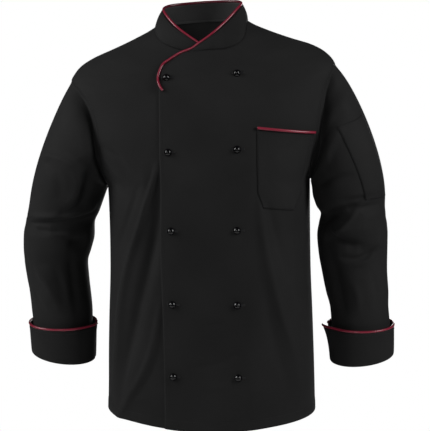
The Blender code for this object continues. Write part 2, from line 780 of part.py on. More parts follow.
def build_sleeve(side):
    turns = ring_turns(side)
    rows = [[sleeve(side, turn, place) for turn in turns] for place in sleeve_places(side)]
    return cloth("sleeve_" + side, rows, CLOTH, around=True)


def cuff_point(side, turn, lift, rise):
    """A point of the cuff, with its front corner at the vent standing away."""
    place = 1 + SLEEVE_TOP - (SLEEVE_END[side] + rise)
    corner = smooth(1 - abs(math.degrees(turn) - (180 - CUFF_VENT)) / CUFF_FLARE_SPAN)
    if math.degrees(turn) > 180:
        corner = 0.0
    height = max(rise, 0.0) / CUFF_SECTION[-1][1]
    flare = CUFF_FLARE[side] * corner * height * height
    base = ring_point(side, turn, SLEEVE_TOP - (place - 1))
    return base + sleeve_normal(side, turn, place) * (lift + flare)


def cuff_turns(side):
    span = 360.0 - 2 * CUFF_VENT
    first = 180.0 + CUFF_VENT
    turns = [math.radians(first + span * i / (CUFF_POINTS - 1)) for i in range(CUFF_POINTS)]
    turns = [turn % (2 * math.pi) for turn in turns]
    return turns if side == "right" else turns[::-1]


def build_cuff(side):
    turns = cuff_turns(side)
    rows = [
        [cuff_point(side, turn, lift, rise) for turn in turns] for lift, rise in CUFF_SECTION
    ]
    rows.reverse()
    return cloth("cuff_" + side, rows, CUFF_CLOTH)


def build_cuff_piping(side):
    lift, rise = CUFF_SECTION[-1]
    lift -= CUFF_CLOTH / 2
    rise += PIPING + SEAM
    line = [cuff_point(side, turn, lift, rise) for turn in cuff_turns(side)]
    return tube("piping_cuff_" + side, line, PIPING)


def pocket_rows(lift):
    """Rows of points on the wearer's left chest, from the mouth to the foot."""
    corner_x, corner_z = POCKET_CORNER
    rows = []
    for down in (*POCKET_DOWNS, POCKET_HEIGHT - corner_z, POCKET_HEIGHT):
        share = down / POCKET_HEIGHT
        cut = max(down - (POCKET_HEIGHT - corner_z), 0.0) / corner_z * corner_x
        narrowing = POCKET_NARROWING * (1 - (1 - share) ** POCKET_NARROWING_CURVE)
        inner = POCKET_INNER - POCKET_LEAN * share + cut
        outer = POCKET_OUTER - narrowing - cut
        row = []
        for across in POCKET_CELLS:
            x = inner + (outer - inner) * across
            level = POCKET_MOUTH - POCKET_SLANT * (x - POCKET_INNER) - down
            row.append(torso(turn_at(x, level), level, lap_lift(x, level) + lift))
        rows.append(row)
    return rows


def build_chest_pocket():
    return cloth("chest_pocket", pocket_rows(POCKET_STAND + POCKET_CLOTH), POCKET_CLOTH)


def build_chest_piping():
    mouth, below = pocket_rows(POCKET_STAND + POCKET_PIPING)[:2]
    line = [top + (top - low).normalized() * (POCKET_PIPING + SEAM) for top, low in zip(mouth, below)]
    return tube("piping_chest_pocket", line, POCKET_PIPING)


def place_at_height(side, turn, height):
    """The share of the sleeve cap at which it comes down to a height."""
    low, high = 0.0, 1.0
    for _ in range(30):
        middle = (low + high) / 2
        if sleeve_frame(side, turn, middle).z > height:
            low = middle
        else:
            high = middle
    return low


def build_sleeve_pocket():
    """A narrow patch pocket for pens, on the outer side of the upper arm."""
    mouth_front, mouth_back = PEN_MOUTH
    rows = []
    for step in range(PEN_ROWS + 1):
        down = step / PEN_ROWS
        front = PEN_FRONT_TURN[0] + (PEN_FRONT_TURN[1] - PEN_FRONT_TURN[0]) * down
        back = PEN_BACK_TURN[0] + (PEN_BACK_TURN[1] - PEN_BACK_TURN[0]) * down
        row = []
        for degrees in (front, *PEN_INNER_TURNS, back):
            turn = math.radians(degrees)
            share = (front - degrees) / (front - back)
            mouth = place_at_height("left", turn, mouth_front + (mouth_back - mouth_front) * share)
            cap_row = (CAP_ROWS - PEN_ROWS + step) / CAP_ROWS
            place = mouth if step == 0 else min(cap_row, PEN_FOOT)
            row.append(sleeve("left", turn, place, PEN_STAND + POCKET_CLOTH))
        rows.append(row)
    return cloth("sleeve_pocket", rows, POCKET_CLOTH)


def build_button(name, x, level):
    """A domed stud on the upper front, turned about its own axis."""
    profile = [(0.0, BUTTON_HEIGHT)]
    for degrees in BUTTON_ARC:
        angle = math.radians(degrees)
        height = BUTTON_HEIGHT * (BUTTON_RIM + (1 - BUTTON_RIM) * math.sin(angle))
        profile.append((BUTTON_RADIUS * math.cos(angle), height))
    profile.append((BUTTON_RADIUS * BUTTON_WAIST, BUTTON_HEIGHT * BUTTON_RIM / 2))
    profile.append((BUTTON_RADIUS * BUTTON_FOOT, 0.0))
    profile.append((0.0, 0.0))
    edges = [(i, i + 1) for i in range(len(profile) - 1)]
    mesh = bpy.data.meshes.new(name)
    mesh.from_pydata([(r, 0, z) for r, z in profile], edges, [])
    button = add_object(name, mesh, (GLOSS, 0.12))
    turned = button.modifiers.new("turned", "SCREW")
    turned.steps = BUTTON_STEPS
    turned.render_steps = BUTTON_STEPS
    turned.use_merge_vertices = True
    turned.merge_threshold = 0.00005
    turned.use_smooth_shade = True
    turn = turn_at(x, level)
    normal = outward(torso_frame, turn, level, 1e-3, 1e-4)
    button.rotation_mode = "QUATERNION"
    button.rotation_quaternion = normal.to_track_quat("Z", "Y")
    button.location = torso(turn, level, lap_lift(x, level) + SEAM)
    return button


def build_buttons():
    for row, (level, left, right) in enumerate(BUTTONS, 1):
        build_button(f"button_left_{row}", left, level)
        build_button(f"button_right_{row}", right, level)


for old in list(bpy.data.objects):
    bpy.data.objects.remove(old, do_unlink=True)
jacket = bpy.data.collections.new("chef_jacket")
bpy.context.scene.collection.children.link(jacket)

build_back()
for wearer_side in ("left", "right"):
    build_front(wearer_side)
    build_sleeve(wearer_side)
    build_cuff(wearer_side)
    build_cuff_piping(wearer_side)
build_collar()
build_collar_piping()
build_chest_pocket()
build_chest_piping()
build_sleeve_pocket()
build_buttons()
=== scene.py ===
# %% [markdown]
# # Chef jacket
# A black double-breasted jacket in its worn shape, with nobody in it. The real one is cut
# flat from twill, sewn along its seams and filled out by a body. Here each cut piece is a
# fine grid bent onto the jacket's own surface, so a fold, a hem or a row of stitches can be
# placed in the same numbers as on the pattern: how far round, and how far down.

# %% Blender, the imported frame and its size
import math

import bmesh
import bpy
import numpy as np
from mathutils import Matrix, Vector


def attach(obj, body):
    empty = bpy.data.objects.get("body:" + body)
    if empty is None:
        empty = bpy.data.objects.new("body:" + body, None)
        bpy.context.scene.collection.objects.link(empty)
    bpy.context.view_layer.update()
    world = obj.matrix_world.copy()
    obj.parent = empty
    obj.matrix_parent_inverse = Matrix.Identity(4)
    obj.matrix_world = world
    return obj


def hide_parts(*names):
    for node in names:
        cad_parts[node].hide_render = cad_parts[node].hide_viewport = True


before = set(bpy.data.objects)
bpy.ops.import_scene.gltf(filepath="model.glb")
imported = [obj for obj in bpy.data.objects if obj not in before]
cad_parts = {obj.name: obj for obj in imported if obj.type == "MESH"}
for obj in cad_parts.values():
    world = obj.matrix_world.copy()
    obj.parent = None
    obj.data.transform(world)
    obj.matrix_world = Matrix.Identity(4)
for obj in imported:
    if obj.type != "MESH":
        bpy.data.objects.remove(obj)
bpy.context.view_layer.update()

# %% [markdown]
# ## Sizes along a body
# A tailor's table gives a few measures at a few levels. Between them cloth runs smoothly
# and never bulges past both. A monotone cubic through each column does the same. It works
# on whole arrays at once, because a panel has thousands of points.

# %% Smooth sizes from a short table
SIGN = {"left": 1, "right": -1}       # the wearer's left is +X
MM = 0.001


def ease(value):
    """Goes softly from 0 to 1 as value does."""
    value = np.clip(value, 0.0, 1.0)
    return value * value * (3.0 - 2.0 * value)


def together(*values):
    """The values as arrays of one shape."""
    return np.broadcast_arrays(*(np.asarray(value, float) for value in values))


def size_table(columns, rows):
    """A function that gives each named size at any place along the first column."""
    rows = np.array(sorted(rows))
    at, values = rows[:, 0], rows[:, 1:]
    chord = np.diff(values, axis=0) / np.diff(at)[:, None]
    slopes = np.vstack([chord[:1], np.zeros_like(chord[1:]), chord[-1:]])
    for i in range(1, len(at) - 1):
        product = chord[i - 1] * chord[i]
        total = np.where(product > 0, chord[i - 1] + chord[i], 1.0)
        slopes[i] = np.where(product > 0, 2 * product / total, 0.0)

    def sizes(where):
        where = np.asarray(where, float)
        i = np.clip(np.searchsorted(at, where) - 1, 0, len(at) - 2)
        span = at[i + 1] - at[i]
        t = (where - at[i]) / span
        inside = np.clip(t, 0.0, 1.0)
        past = (t - inside) * span
        found = {}
        for k, name in enumerate(columns[1:]):
            a, b = values[i, k], values[i + 1, k]
            slope_a, slope_b = slopes[i, k], slopes[i + 1, k]
            curve = (
                a * (1 + 2 * inside) * (1 - inside) ** 2
                + slope_a * span * inside * (1 - inside) ** 2
                + b * inside ** 2 * (3 - 2 * inside)
                + slope_b * span * inside ** 2 * (inside - 1)
            )
            found[name] = curve + past * np.where(t < 0, slope_a, slope_b)
        return found

    return sizes


# %% [markdown]
# ## The body
# Seen from above, a worn jacket is a rounded oblong, flatter in front and behind than an
# ellipse. A superellipse with its power at each level gives that. `tilt` lifts the back of
# a level over its front, as shoulders do, and `lean` drops one shoulder a little, because
# nobody stands quite level.

# %% Cross-sections of the body
TORSO_COLUMNS = ("level", "half_width", "front", "back", "power", "tilt", "shift", "lean")
TORSO = (
    (0.006, 0.0768, 0.050, 0.053, 2.00, 0.070, 0.0035, 0.065),
    (0.000, 0.0868, 0.052, 0.055, 2.00, 0.070, 0.0035, 0.065),
    (-0.008, 0.100, 0.054, 0.059, 2.00, 0.070, 0.003, 0.065),
    (-0.016, 0.117, 0.057, 0.064, 2.02, 0.068, 0.003, 0.065),
    (-0.024, 0.135, 0.060, 0.070, 2.05, 0.066, 0.003, 0.065),
    (-0.038, 0.170, 0.066, 0.080, 2.10, 0.060, 0.003, 0.065),
    (-0.051, 0.205, 0.072, 0.088, 2.15, 0.056, 0.004, 0.065),
    (-0.065, 0.229, 0.079, 0.095, 2.20, 0.052, 0.004, 0.065),
    (-0.080, 0.243, 0.088, 0.102, 2.25, 0.046, 0.005, 0.065),
    (-0.089, 0.248, 0.092, 0.105, 2.27, 0.044, 0.005, 0.065),
    (-0.102, 0.250, 0.100, 0.110, 2.30, 0.040, 0.006, 0.063),
    (-0.122, 0.247, 0.108, 0.115, 2.30, 0.036, 0.007, 0.060),
    (-0.151, 0.242, 0.116, 0.119, 2.30, 0.030, 0.009, 0.058),
    (-0.187, 0.234, 0.124, 0.121, 2.30, 0.024, 0.011, 0.056),
    (-0.231, 0.220, 0.131, 0.121, 2.30, 0.016, 0.013, 0.050),
    (-0.262, 0.206, 0.136, 0.119, 2.30, 0.010, 0.015, 0.042),
    (-0.295, 0.191, 0.139, 0.116, 2.30, 0.004, 0.017, 0.036),
    (-0.380, 0.190, 0.140, 0.109, 2.30, 0.000, 0.019, 0.020),
    (-0.450, 0.1905, 0.140, 0.105, 2.30, 0.000, 0.0200, 0.010),
    (-0.550, 0.194, 0.142, 0.108, 2.30, 0.000, 0.0210, 0.005),
    (-0.650, 0.197, 0.146, 0.115, 2.28, 0.000, 0.0220, 0.001),
    (-0.770, 0.200, 0.151, 0.123, 2.25, 0.000, 0.0225, -0.006),
)
torso_sizes = size_table(TORSO_COLUMNS, TORSO)


def torso_plain(turn, level):
    """Points of the body without folds. Turn 0 is the front middle, then towards the left."""
    turn, level = together(turn, level)
    size = torso_sizes(level)
    depth = np.where(np.cos(turn) > 0, size["front"], size["back"])
    across = np.abs(np.sin(turn) / size["half_width"]) ** size["power"]
    along = np.abs(np.cos(turn) / depth) ** size["power"]
    reach = (across + along) ** (-1 / size["power"])
    x, y = reach * np.sin(turn), -reach * np.cos(turn)
    z = level + size["tilt"] * y + size["lean"] * x
    return np.stack([x + size["shift"], y, z], axis=-1)


def turn_at(x, level, face="front"):
    """The turn at which the body's section reaches x."""
    size = torso_sizes(level)
    share = np.minimum(np.abs(x) / size["half_width"], 1.0)
    depth = size[face] * (1 - share ** size["power"]) ** (1 / size["power"])
    turn = np.arctan2(np.abs(x), depth)
    return np.copysign(turn if face == "front" else np.pi - turn, x)


def unit(vectors):
    return vectors / np.linalg.norm(vectors, axis=-1, keepdims=True)


def torso_normal(turn, level):
    """Unit normals of the body without folds."""
    around = torso_plain(turn + 1e-3, level) - torso_plain(turn - 1e-3, level)
    along = torso_plain(turn, level + 1e-4) - torso_plain(turn, level - 1e-4)
    return unit(np.cross(around, along))


print("chest half width", round(float(torso_sizes(-0.30)["half_width"]) * 1000), "mm")

# %% [markdown]
# ## Folds
# Twill this heavy makes few folds, long and soft. Each row below is one, given as
# points along it. A point gives its place, its height and a half width in millimetres: a
# ridge where the height is positive, a trough where negative. Its section is a bell, so it
# has no hard edge, and it swells and dies out on its way. None repeats another.

# %% The body's folds, as x, level, height and half width in millimetres
BODY_FOLDS = {
    "front": (
        ((-84, -226, 0, 16), (-94, -262, 2, 20), (-108, -300, 3.8, 23), (-136, -401, 4.2, 24),
         (-158, -490, 4, 22), (-180, -610, 3.6, 22), (-188, -680, 0, 22)),
        ((-92, -535, 0, 16), (-104, -580, 3, 18), (-138, -646, 4, 19), (-162, -720, 4.4, 20),
         (-168, -750, 4, 20)),
        ((98, -330, 0, 20), (106, -385, 4.4, 22), (138, -515, 5, 22), (174, -658, 4.4, 22),
         (186, -710, 0, 22)),
    ),
    "back": (
        ((146, -245, 0, 24), (130, -290, 5, 26), (85, -430, 6, 26), (72, -490, 0, 26)),
        ((-152, -262, 0, 24), (-135, -310, 5.5, 26), (-80, -470, 6.5, 26), (-66, -530, 0, 26)),
        ((22, -430, 0, 24), (30, -480, -4, 26), (50, -720, -5, 26), (52, -750, -5, 26)),
    ),
}
LAP_HALF = 0.088         # the two fronts lie flat on each other over this half width
FOLD_EASE = 0.022        # past it, the folds rise to their full height over this
FOLD_FADE = 0.35         # a fold dies out this near the side seam, as a cosine


# %% [markdown]
# ## Creases
# Between the folds lie smaller, sharper creases: where the cloth is pulled from the armhole,
# and where the sides hang. They are laid in the same way. Over the flap they stay under a
# millimetre, since two fronts lie flat on each other there. Beside the flap's edge the lower
# front has a set of its own, because the upper front bridges them.

# %% Folds and creases through points
LINE_STEPS = 6           # points on a crease's line for each one given
LINE_ROUNDINGS = 12      # the more, the rounder its corners


def rounded(line, times):
    """A line whose points between its ends are drawn towards their neighbours."""
    for _ in range(times):
        line[1:-1] = (line[:-2] + 2 * line[1:-1] + line[2:]) / 4
    return line


def crease_line(points):
    """A crease's points again, closer together and rounded where it turns."""
    points = np.array(points, float)
    places = np.linspace(0, len(points) - 1, LINE_STEPS * len(points))
    given = range(len(points))
    line = np.stack([np.interp(places, given, column) for column in points.T], axis=-1)
    return rounded(line, LINE_ROUNDINGS)


def crease_height(creases, at, level, width_per_unit):
    """How far the creases raise the cloth at each place."""
    across, down = together(at * width_per_unit, level)
    total = np.zeros(across.shape)
    for points in creases:
        line = crease_line(points) * (width_per_unit, MM, MM, MM)
        nearest, raised = np.full(across.shape, np.inf), np.zeros(across.shape)
        for start, end in zip(line[:-1], line[1:]):
            step = end - start
            away_x, away_z = across - start[0], down - start[1]
            share = (away_x * step[0] + away_z * step[1]) / max(step[:2] @ step[:2], 1e-12)
            share = np.clip(share, 0, 1)
            distance = np.hypot(away_x - share * step[0], away_z - share * step[1])
            width = start[3] + share * step[3]
            height = (start[2] + share * step[2]) * np.exp(-(distance / width) ** 2)
            raised = np.where(distance < nearest, height, raised)
            nearest = np.minimum(distance, nearest)
        total += raised
    return total


# %% The body's creases, as x, level, height and half width in millimetres
UNDER_CREASES = (        # only on the lower front, beside the flap, which lies over their edge
    ((-79, -236, 0, 5), (-84, -262, 3, 5), (-92.5, -288, 4.8, 5), (-106, -328, 5.8, 5.4),
     (-122, -380, 6.2, 6), (-134, -411, 6.2, 6.4), (-146, -455, 5.8, 6.5), (-157, -507, 5.4, 6.5),
     (-163, -560, 5, 6.5), (-168, -603, 4.4, 6.5), (-176, -660, 2.4, 7), (-182, -705, 0, 7)),
    ((-76, -262, 0, 8), (-78.5, -290, -3, 9), (-82, -341, -4.6, 10), (-92, -398, -6.8, 11),
     (-107, -456, -7.4, 12), (-121, -507, -7.6, 12), (-134, -560, -7, 11), (-146, -603, -6.4, 9.5),
     (-156, -650, -4.8, 9), (-163, -690, -2.4, 9), (-168, -720, 0, 9)),
    ((-80, -490, 0, 5.5), (-84.5, -525, 2.4, 5.5), (-90.5, -562, 4.4, 6), (-98, -603, 5.2, 6.8),
     (-121, -655, 4.8, 6.8), (-149, -698.5, 4, 6.8), (-163, -735, 2.6, 7), (-168, -752, 1.6, 7)),
    ((-130, -306, 0, 6), (-137.4, -324, 2.2, 6), (-153, -370, 2.6, 7), (-174, -417, 0, 7)),
    ((-112, -276, 0, 6), (-119.4, -294, -2.2, 6), (-139.4, -344, -3, 7), (-158.4, -394, -1.6, 7),
     (-166, -420, 0, 7)),
    ((-186, -205, 0, 6), (-178.6, -218, -2.2, 6), (-153.4, -233, -2.6, 7), (-139.3, -256, -1.4, 7),
     (-132, -272, 0, 7)),
    ((-196, -235, 0, 6), (-180, -262, -2, 6), (-160, -288, -2, 7), (-148, -312, 0, 7)),
    ((-150, -705, 0, 6), (-121.3, -692, 1.6, 6), (-100, -686, 0, 6)),
)
FRONT_CREASES = (
    ((101, -309, 0, 5), (102.4, -329, 2.8, 5.5), (106, -375, 4.2, 6), (112, -419, 5, 6.5),
     (122.5, -468, 5.2, 7), (133.5, -513, 4.8, 7), (147, -561, 4.6, 7.5), (160, -603, 3.6, 8),
     (172, -655, 0, 8)),
    ((101, -440, 0, 9), (113, -500, -2.2, 10), (126.5, -576, -2.6, 11), (143.4, -638, -2, 10),
     (155.1, -680, 0, 9)),
    ((113, -316, 0, 7), (122, -345, -2.2, 7), (132.7, -391, -3, 8), (144.1, -439, -2.4, 8),
     (155, -480, 0, 8)),
    ((159, -305, 0, 6), (160.6, -325, 1.8, 6), (161.5, -388, 2.4, 7), (159.3, -437, 0, 7)),
    ((152, -462, 0, 6), (159.7, -488, 2, 6), (168.6, -564, 2, 7), (173, -600, 0, 7)),
    ((-30, -628, 0, 7), (-15.4, -622.5, -0.9, 7), (19.5, -618, -1, 7), (55.9, -603, -0.8, 7),
     (70, -594, 0, 7)),
    ((-12, -550, 0, 7), (1.8, -548, -0.8, 7), (32.8, -542, -0.8, 7), (46, -538, 0, 7)),
    ((-16, -661, 0, 7), (1, -661, 0.9, 7), (37.6, -661, 0.9, 7), (52, -660, 0, 7)),
    ((186, -202, 0, 7), (178.6, -215.5, -2, 7), (151.5, -231, -2, 8), (138, -246, 0, 8)),
)
BACK_CREASES = (
    ((-196, -232, 0, 6), (-172, -270, -2, 7), (-142, -318, -2.6, 8), (-118, -372, -2, 9),
     (-104, -430, 0, 9)),
    ((-186, -286, 0, 6), (-160, -312, 1.8, 6), (-132, -358, 2.4, 7), (-120, -410, 0, 7)),
    ((-176, -385, 0, 7), (-150, -400, -1.8, 7), (-112, -436, -2.2, 8), (-86, -480, 0, 8)),
    ((-92, -470, 0, 6), (-106, -540, 2.4, 6.5), (-124, -620, 2.8, 7), (-134, -735, 1.6, 8)),
    ((-60, -560, 0, 8), (-70, -620, -2.2, 9), (-82, -735, -1.8, 10)),
    ((200, -240, 0, 6), (176, -262, -1.6, 7), (150, -300, -2.4, 8), (130, -344, -1.2, 8),
     (120, -376, 0, 8)),
    ((182, -312, 0, 6), (150, -350, 2, 6), (118, -398, 2.6, 7), (94, -452, 0, 7)),
    ((170, -430, 0, 7), (140, -452, -1.8, 7), (104, -506, -2, 8), (90, -550, 0, 8)),
    ((104, -500, 0, 6), (118, -580, 2.6, 6.5), (128, -660, 2.4, 7), (140, -735, 1.4, 8)),
    ((18, -610, 0, 8), (24, -668, 1.6, 8), (20, -735, 1.4, 9)),
    ((-20, -140, 0, 9), (14, -152, -1, 10), (62, -150, 0, 9)),
    ((-150, -130, 0, 8), (-140, -170, -1.4, 9), (-136, -214, 0, 9)),
)


def torso(turn, level, lift=0.0, under=False):
    """Points of the body's outer face with its folds, moved out by lift."""
    turn, level = together(turn, level)
    base = torso_plain(turn, level)
    normal = torso_normal(turn, level)
    facing = np.cos(turn)
    x = base[..., 0] - torso_sizes(level)["shift"]
    in_front = crease_height(BODY_FOLDS["front"], x / MM, level, MM)
    in_front = in_front * ease((np.abs(x) - LAP_HALF) / FOLD_EASE)
    creases = FRONT_CREASES + UNDER_CREASES if under else FRONT_CREASES
    in_front = in_front + crease_height(creases, x / MM, level, MM)
    behind = crease_height(BODY_FOLDS["back"] + BACK_CREASES, x / MM, level, MM)
    raised = np.where(facing > 0, in_front, behind) * ease(np.abs(facing) / FOLD_FADE)
    return base + normal * (raised + lift)[..., None]


print(len(FRONT_CREASES + UNDER_CREASES + BACK_CREASES), "creases on the body")

# %% [markdown]
# ## One helper for every sheet
# A cut piece is a flat grid before it is sewn, and `create_grid` is just that. Each grid
# point then goes to its place on the worn shape. The flat place stays behind as the UV map,
# in metres of real cloth, so the weave later runs with the cloth and never stretches.

# %% Lengths along the cloth
def lengths(points):
    """How far each point lies along its own row."""
    step = np.linalg.norm(np.diff(points, axis=-2), axis=-1)
    return np.concatenate([np.zeros_like(step[..., :1]), np.cumsum(step, axis=-1)], axis=-1)


def in_even_steps(along, count, *columns):
    """Each column's values at count places, evenly spaced along."""
    places = np.linspace(0, along[-1], count)
    return [np.interp(places, along, column) for column in columns]


def evenly(points, count):
    """The same line as count points at even distances along it."""
    return np.stack(in_even_steps(lengths(points), count, *points.T), axis=-1)


def cut_lengths(points, middle_column):
    """Where each point of a bent grid lies on the flat cloth, in metres."""
    across = lengths(points)
    across -= across[:, middle_column:middle_column + 1]
    down = np.broadcast_to(-lengths(points[:, middle_column])[:, None], across.shape)
    return np.stack([across, down], axis=-1)


# %% Bending a grid onto a surface
def piece_from(name, bm, *finishes):
    """A smooth object made of a bmesh, with its materials."""
    mesh = bpy.data.meshes.new(name)
    bm.to_mesh(mesh)
    bm.free()
    mesh.shade_smooth()
    for finish in finishes:
        mesh.materials.append(finish)
    piece = bpy.data.objects.new(name, mesh)
    bpy.context.scene.collection.objects.link(piece)
    return piece


grids = {}               # each sheet's points, for the stitches that follow its edges


def sheet_object(
    name, points, finish, centre=None, wall=None, welded=False, capped=False, cut=None
):
    """A cloth grid through an array of points, rows by columns, facing away from centre."""
    rows, columns = points.shape[:2]
    grids[name] = points
    cut = cut_lengths(points, columns // 2) if cut is None else cut
    bm = bmesh.new()
    bmesh.ops.create_grid(bm, x_segments=columns - 1, y_segments=rows - 1, size=1.0)
    flat = bm.loops.layers.uv.new("cut")
    places = {}
    for vert in bm.verts:
        column = round((vert.co.x + 1) / 2 * (columns - 1))
        row = round((1 - vert.co.y) / 2 * (rows - 1))
        places[vert] = row, column
        vert.co = points[row, column]
    for face in bm.faces:
        for loop in face.loops:
            loop[flat].uv = cut[places[loop.vert]]
    if welded:
        bmesh.ops.remove_doubles(bm, verts=bm.verts, dist=1e-5)
    if capped:
        open_edges = [edge for edge in bm.edges if edge.is_boundary]
        bmesh.ops.holes_fill(bm, edges=open_edges, sides=0)
    bm.normal_update()
    if capped:
        bmesh.ops.recalc_face_normals(bm, faces=bm.faces)
    else:
        facing = 0.0
        for face in bm.faces:
            middle = face.calc_center_median()
            facing += face.normal.dot(middle - Vector(centre(middle))) * face.calc_area()
        if facing < 0:
            bmesh.ops.reverse_faces(bm, faces=bm.faces)
    piece = piece_from(name, bm, finish)
    mesh = piece.data
    if wall:
        thick = piece.modifiers.new("wall", "SOLIDIFY")
        thick.thickness = wall
        thick.offset = -1.0
        # the inner faces take the reverse, painted lighter as painted light for the inside
        mesh.materials.append(twill_reverse_painted_lighter)
        thick.material_offset = 1
    print(name, len(mesh.polygons), "faces,", round(sum(f.area for f in mesh.polygons), 4), "m2")
    return piece


def body_middle(point):
    """The middle of the body's hollow, at a point's own height."""
    return torso_sizes(point.z)["shift"], 0.0, point.z

# %% [markdown]
# ## The cloth's finish
# The jacket is a polyester and cotton twill, woven black. Dyed black cloth still sends back
# about two parts in a hundred of the light, and its fuzz catches a little more where the eye
# looks along it, which the shader's sheen gives. Real twill has a rib every 0.5 mm. That is
# too fine to show at this size, so the rib is drawn at 1.6 mm, low and slanting.

# %% Colours and helpers for nodes
MIX_A, MIX_B, MIX_COLOUR = 6, 7, 2    # the Mix node's sockets for colours


def colour(hex_code):
    """An sRGB hex colour as the shader's linear numbers."""
    parts = [int(hex_code[i:i + 2], 16) / 255 for i in (1, 3, 5)]
    return [p / 12.92 if p <= 0.04045 else ((p + 0.055) / 1.055) ** 2.4 for p in parts] + [1.0]


def add_node(tree, kind, links=None, **settings):
    """Adds a node. settings are its properties or sockets, links its inputs from other nodes."""
    node = tree.nodes.new(kind)
    for name, value in settings.items():
        if hasattr(node, name):
            setattr(node, name, value)
        else:
            node.inputs[name.replace("_", " ")].default_value = value
    for name, source in (links or {}).items():
        tree.links.new(source, node.inputs[name])
    return node


def new_finish(name, base, roughness, **settings):
    """A material with one Principled shader, and that shader."""
    finish = bpy.data.materials.new(name)
    finish.use_nodes = True
    shader = finish.node_tree.nodes["Principled BSDF"]
    shader.inputs["Base Color"].default_value = colour(base)
    shader.inputs["Roughness"].default_value = roughness
    for key, value in settings.items():
        shader.inputs[key.replace("_", " ")].default_value = value
    finish.diffuse_color = colour(base)
    return finish, shader


def two_tones(tree, shader, factor, first, second):
    """Gives the shader a base colour between two, by a factor from the node tree."""
    mix = add_node(tree, "ShaderNodeMix", {"Factor": factor}, data_type="RGBA")
    mix.inputs[MIX_A].default_value = colour(first)
    mix.inputs[MIX_B].default_value = colour(second)
    tree.links.new(mix.outputs[MIX_COLOUR], shader.inputs["Base Color"])


def raised_by(tree, shader, height, **settings):
    """Gives the shader a bump of this height."""
    bump = add_node(tree, "ShaderNodeBump", {"Height": height}, **settings)
    tree.links.new(bump.outputs["Normal"], shader.inputs["Normal"])

# %% Black twill
TWILL_SLANT = math.radians(63)
TWILL_RIB = 0.0016       # metres between ribs; the real 0.5 mm is too fine to show


def twill(name, base, worn, roughness=0.78, rib_height=0.25):
    """Woven twill: slanting ribs, a soft unevenness of dye and a fuzz on the surface."""
    finish, shader = new_finish(
        name, base, roughness, Sheen_Weight=0.06, Sheen_Roughness=0.45, Specular_IOR_Level=0.18
    )
    shader.inputs["Sheen Tint"].default_value = colour("#8c8c90")
    tree = finish.node_tree
    uv = add_node(tree, "ShaderNodeUVMap", uv_map="cut")
    turned = add_node(
        tree, "ShaderNodeMapping", {"Vector": uv.outputs["UV"]}, Rotation=(0.0, 0.0, TWILL_SLANT)
    )
    ribs = add_node(
        tree, "ShaderNodeTexWave", {"Vector": turned.outputs["Vector"]},
        bands_direction="X", wave_profile="SIN", Scale=math.tau / 20 / TWILL_RIB,
        Distortion=0.6, Detail=1.0, Detail_Scale=2.0,
    )
    slubs = add_node(
        tree, "ShaderNodeTexNoise", {"Vector": uv.outputs["UV"]}, Scale=260.0, Detail=3.0
    )
    clouds = add_node(
        tree, "ShaderNodeTexNoise", {"Vector": uv.outputs["UV"]}, Scale=9.0, Detail=4.0
    )
    uneven = add_node(
        tree, "ShaderNodeMapRange", {"Value": clouds.outputs["Fac"]}, From_Min=0.3, From_Max=0.7
    )
    two_tones(tree, shader, uneven.outputs["Result"], base, worn)
    weave = add_node(
        tree, "ShaderNodeMath", {0: ribs.outputs["Fac"], 1: slubs.outputs["Fac"]}, operation="ADD"
    )
    raised_by(tree, shader, weave.outputs["Value"], Strength=rib_height, Distance=0.0002)
    return finish


black_twill = twill("black polycotton twill", "#202020", "#262626")
# The reverse shows more of the flat weft and less of the rib. Its colour is painted about three
# times as bright as the face, as painted light on the inside faces, where the lamps hardly reach.
twill_reverse_painted_lighter = twill("black polycotton twill reverse, painted lighter", "#3c3c3c", "#444444", 0.7, 0.1)
print("twill ribs", round(TWILL_RIB * 1000, 1), "mm apart")

# %% [markdown]
# ## The back
# One panel from side seam to side seam, cut on the fold. It is the simplest piece, so it
# shows the method: even steps round the body in every row, from the neck seam down to the
# hem. Between the armholes its edge follows the armhole seam, below them the side seam.

# %% Edges of the body panels
SEAM = 0.0001            # gap beside the armhole and piping seams
ARMHOLE_TOP = -0.088
ARMHOLE_FOOT = -0.295
ARMHOLE_MIDDLE = (ARMHOLE_TOP + ARMHOLE_FOOT) / 2
ARMHOLE_HALF = (ARMHOLE_TOP - ARMHOLE_FOOT) / 2
ARMHOLE_SQUARENESS = 0.7
ARMHOLE_HALF_DEPTH = {   # how far the seam stands forward or back of the arm's middle
    ("left", "front"): 0.060,
    ("right", "front"): 0.077,
    ("left", "back"): 0.072,
    ("right", "back"): 0.072,
}
HEM_LEVEL = -0.731
HEM_FRONT_DROP = 0.0160
HEM_BACK_DROP = 0.006
FLARE_TOP = -0.45


def armhole_turn(side, face, level):
    """The turn of the armhole seam at a level."""
    share = np.clip((level - ARMHOLE_MIDDLE) / ARMHOLE_HALF, -1.0, 1.0)
    depth = ARMHOLE_HALF_DEPTH[side, face] * np.sqrt(1 - share * share) ** ARMHOLE_SQUARENESS
    size = torso_sizes(level)
    power = size["power"]
    x = size["half_width"] * (1 - (depth / size[face]) ** power) ** (1 / power)
    return SIGN[side] * np.abs(np.arctan2(x, depth if face == "front" else -depth))


def side_turn(side, face, level):
    """The outer edge of a front or back: shoulder seam, armhole, then side seam."""
    in_armhole = (level > ARMHOLE_FOOT) & (level < ARMHOLE_TOP)
    return np.where(in_armhole, armhole_turn(side, face, level), SIGN[side] * math.pi / 2)


def hem_drop(turn, level):
    """The hem hangs lower at the front and back than at the sides."""
    share = np.clip((FLARE_TOP - level) / (FLARE_TOP - HEM_LEVEL), 0.0, 1.0)
    facing = np.cos(turn)
    drop = np.where(facing > 0, HEM_FRONT_DROP, HEM_BACK_DROP)
    return drop * facing * facing * share * share


FINE_STEPS = 161         # steps that measure a row before its columns are spaced evenly


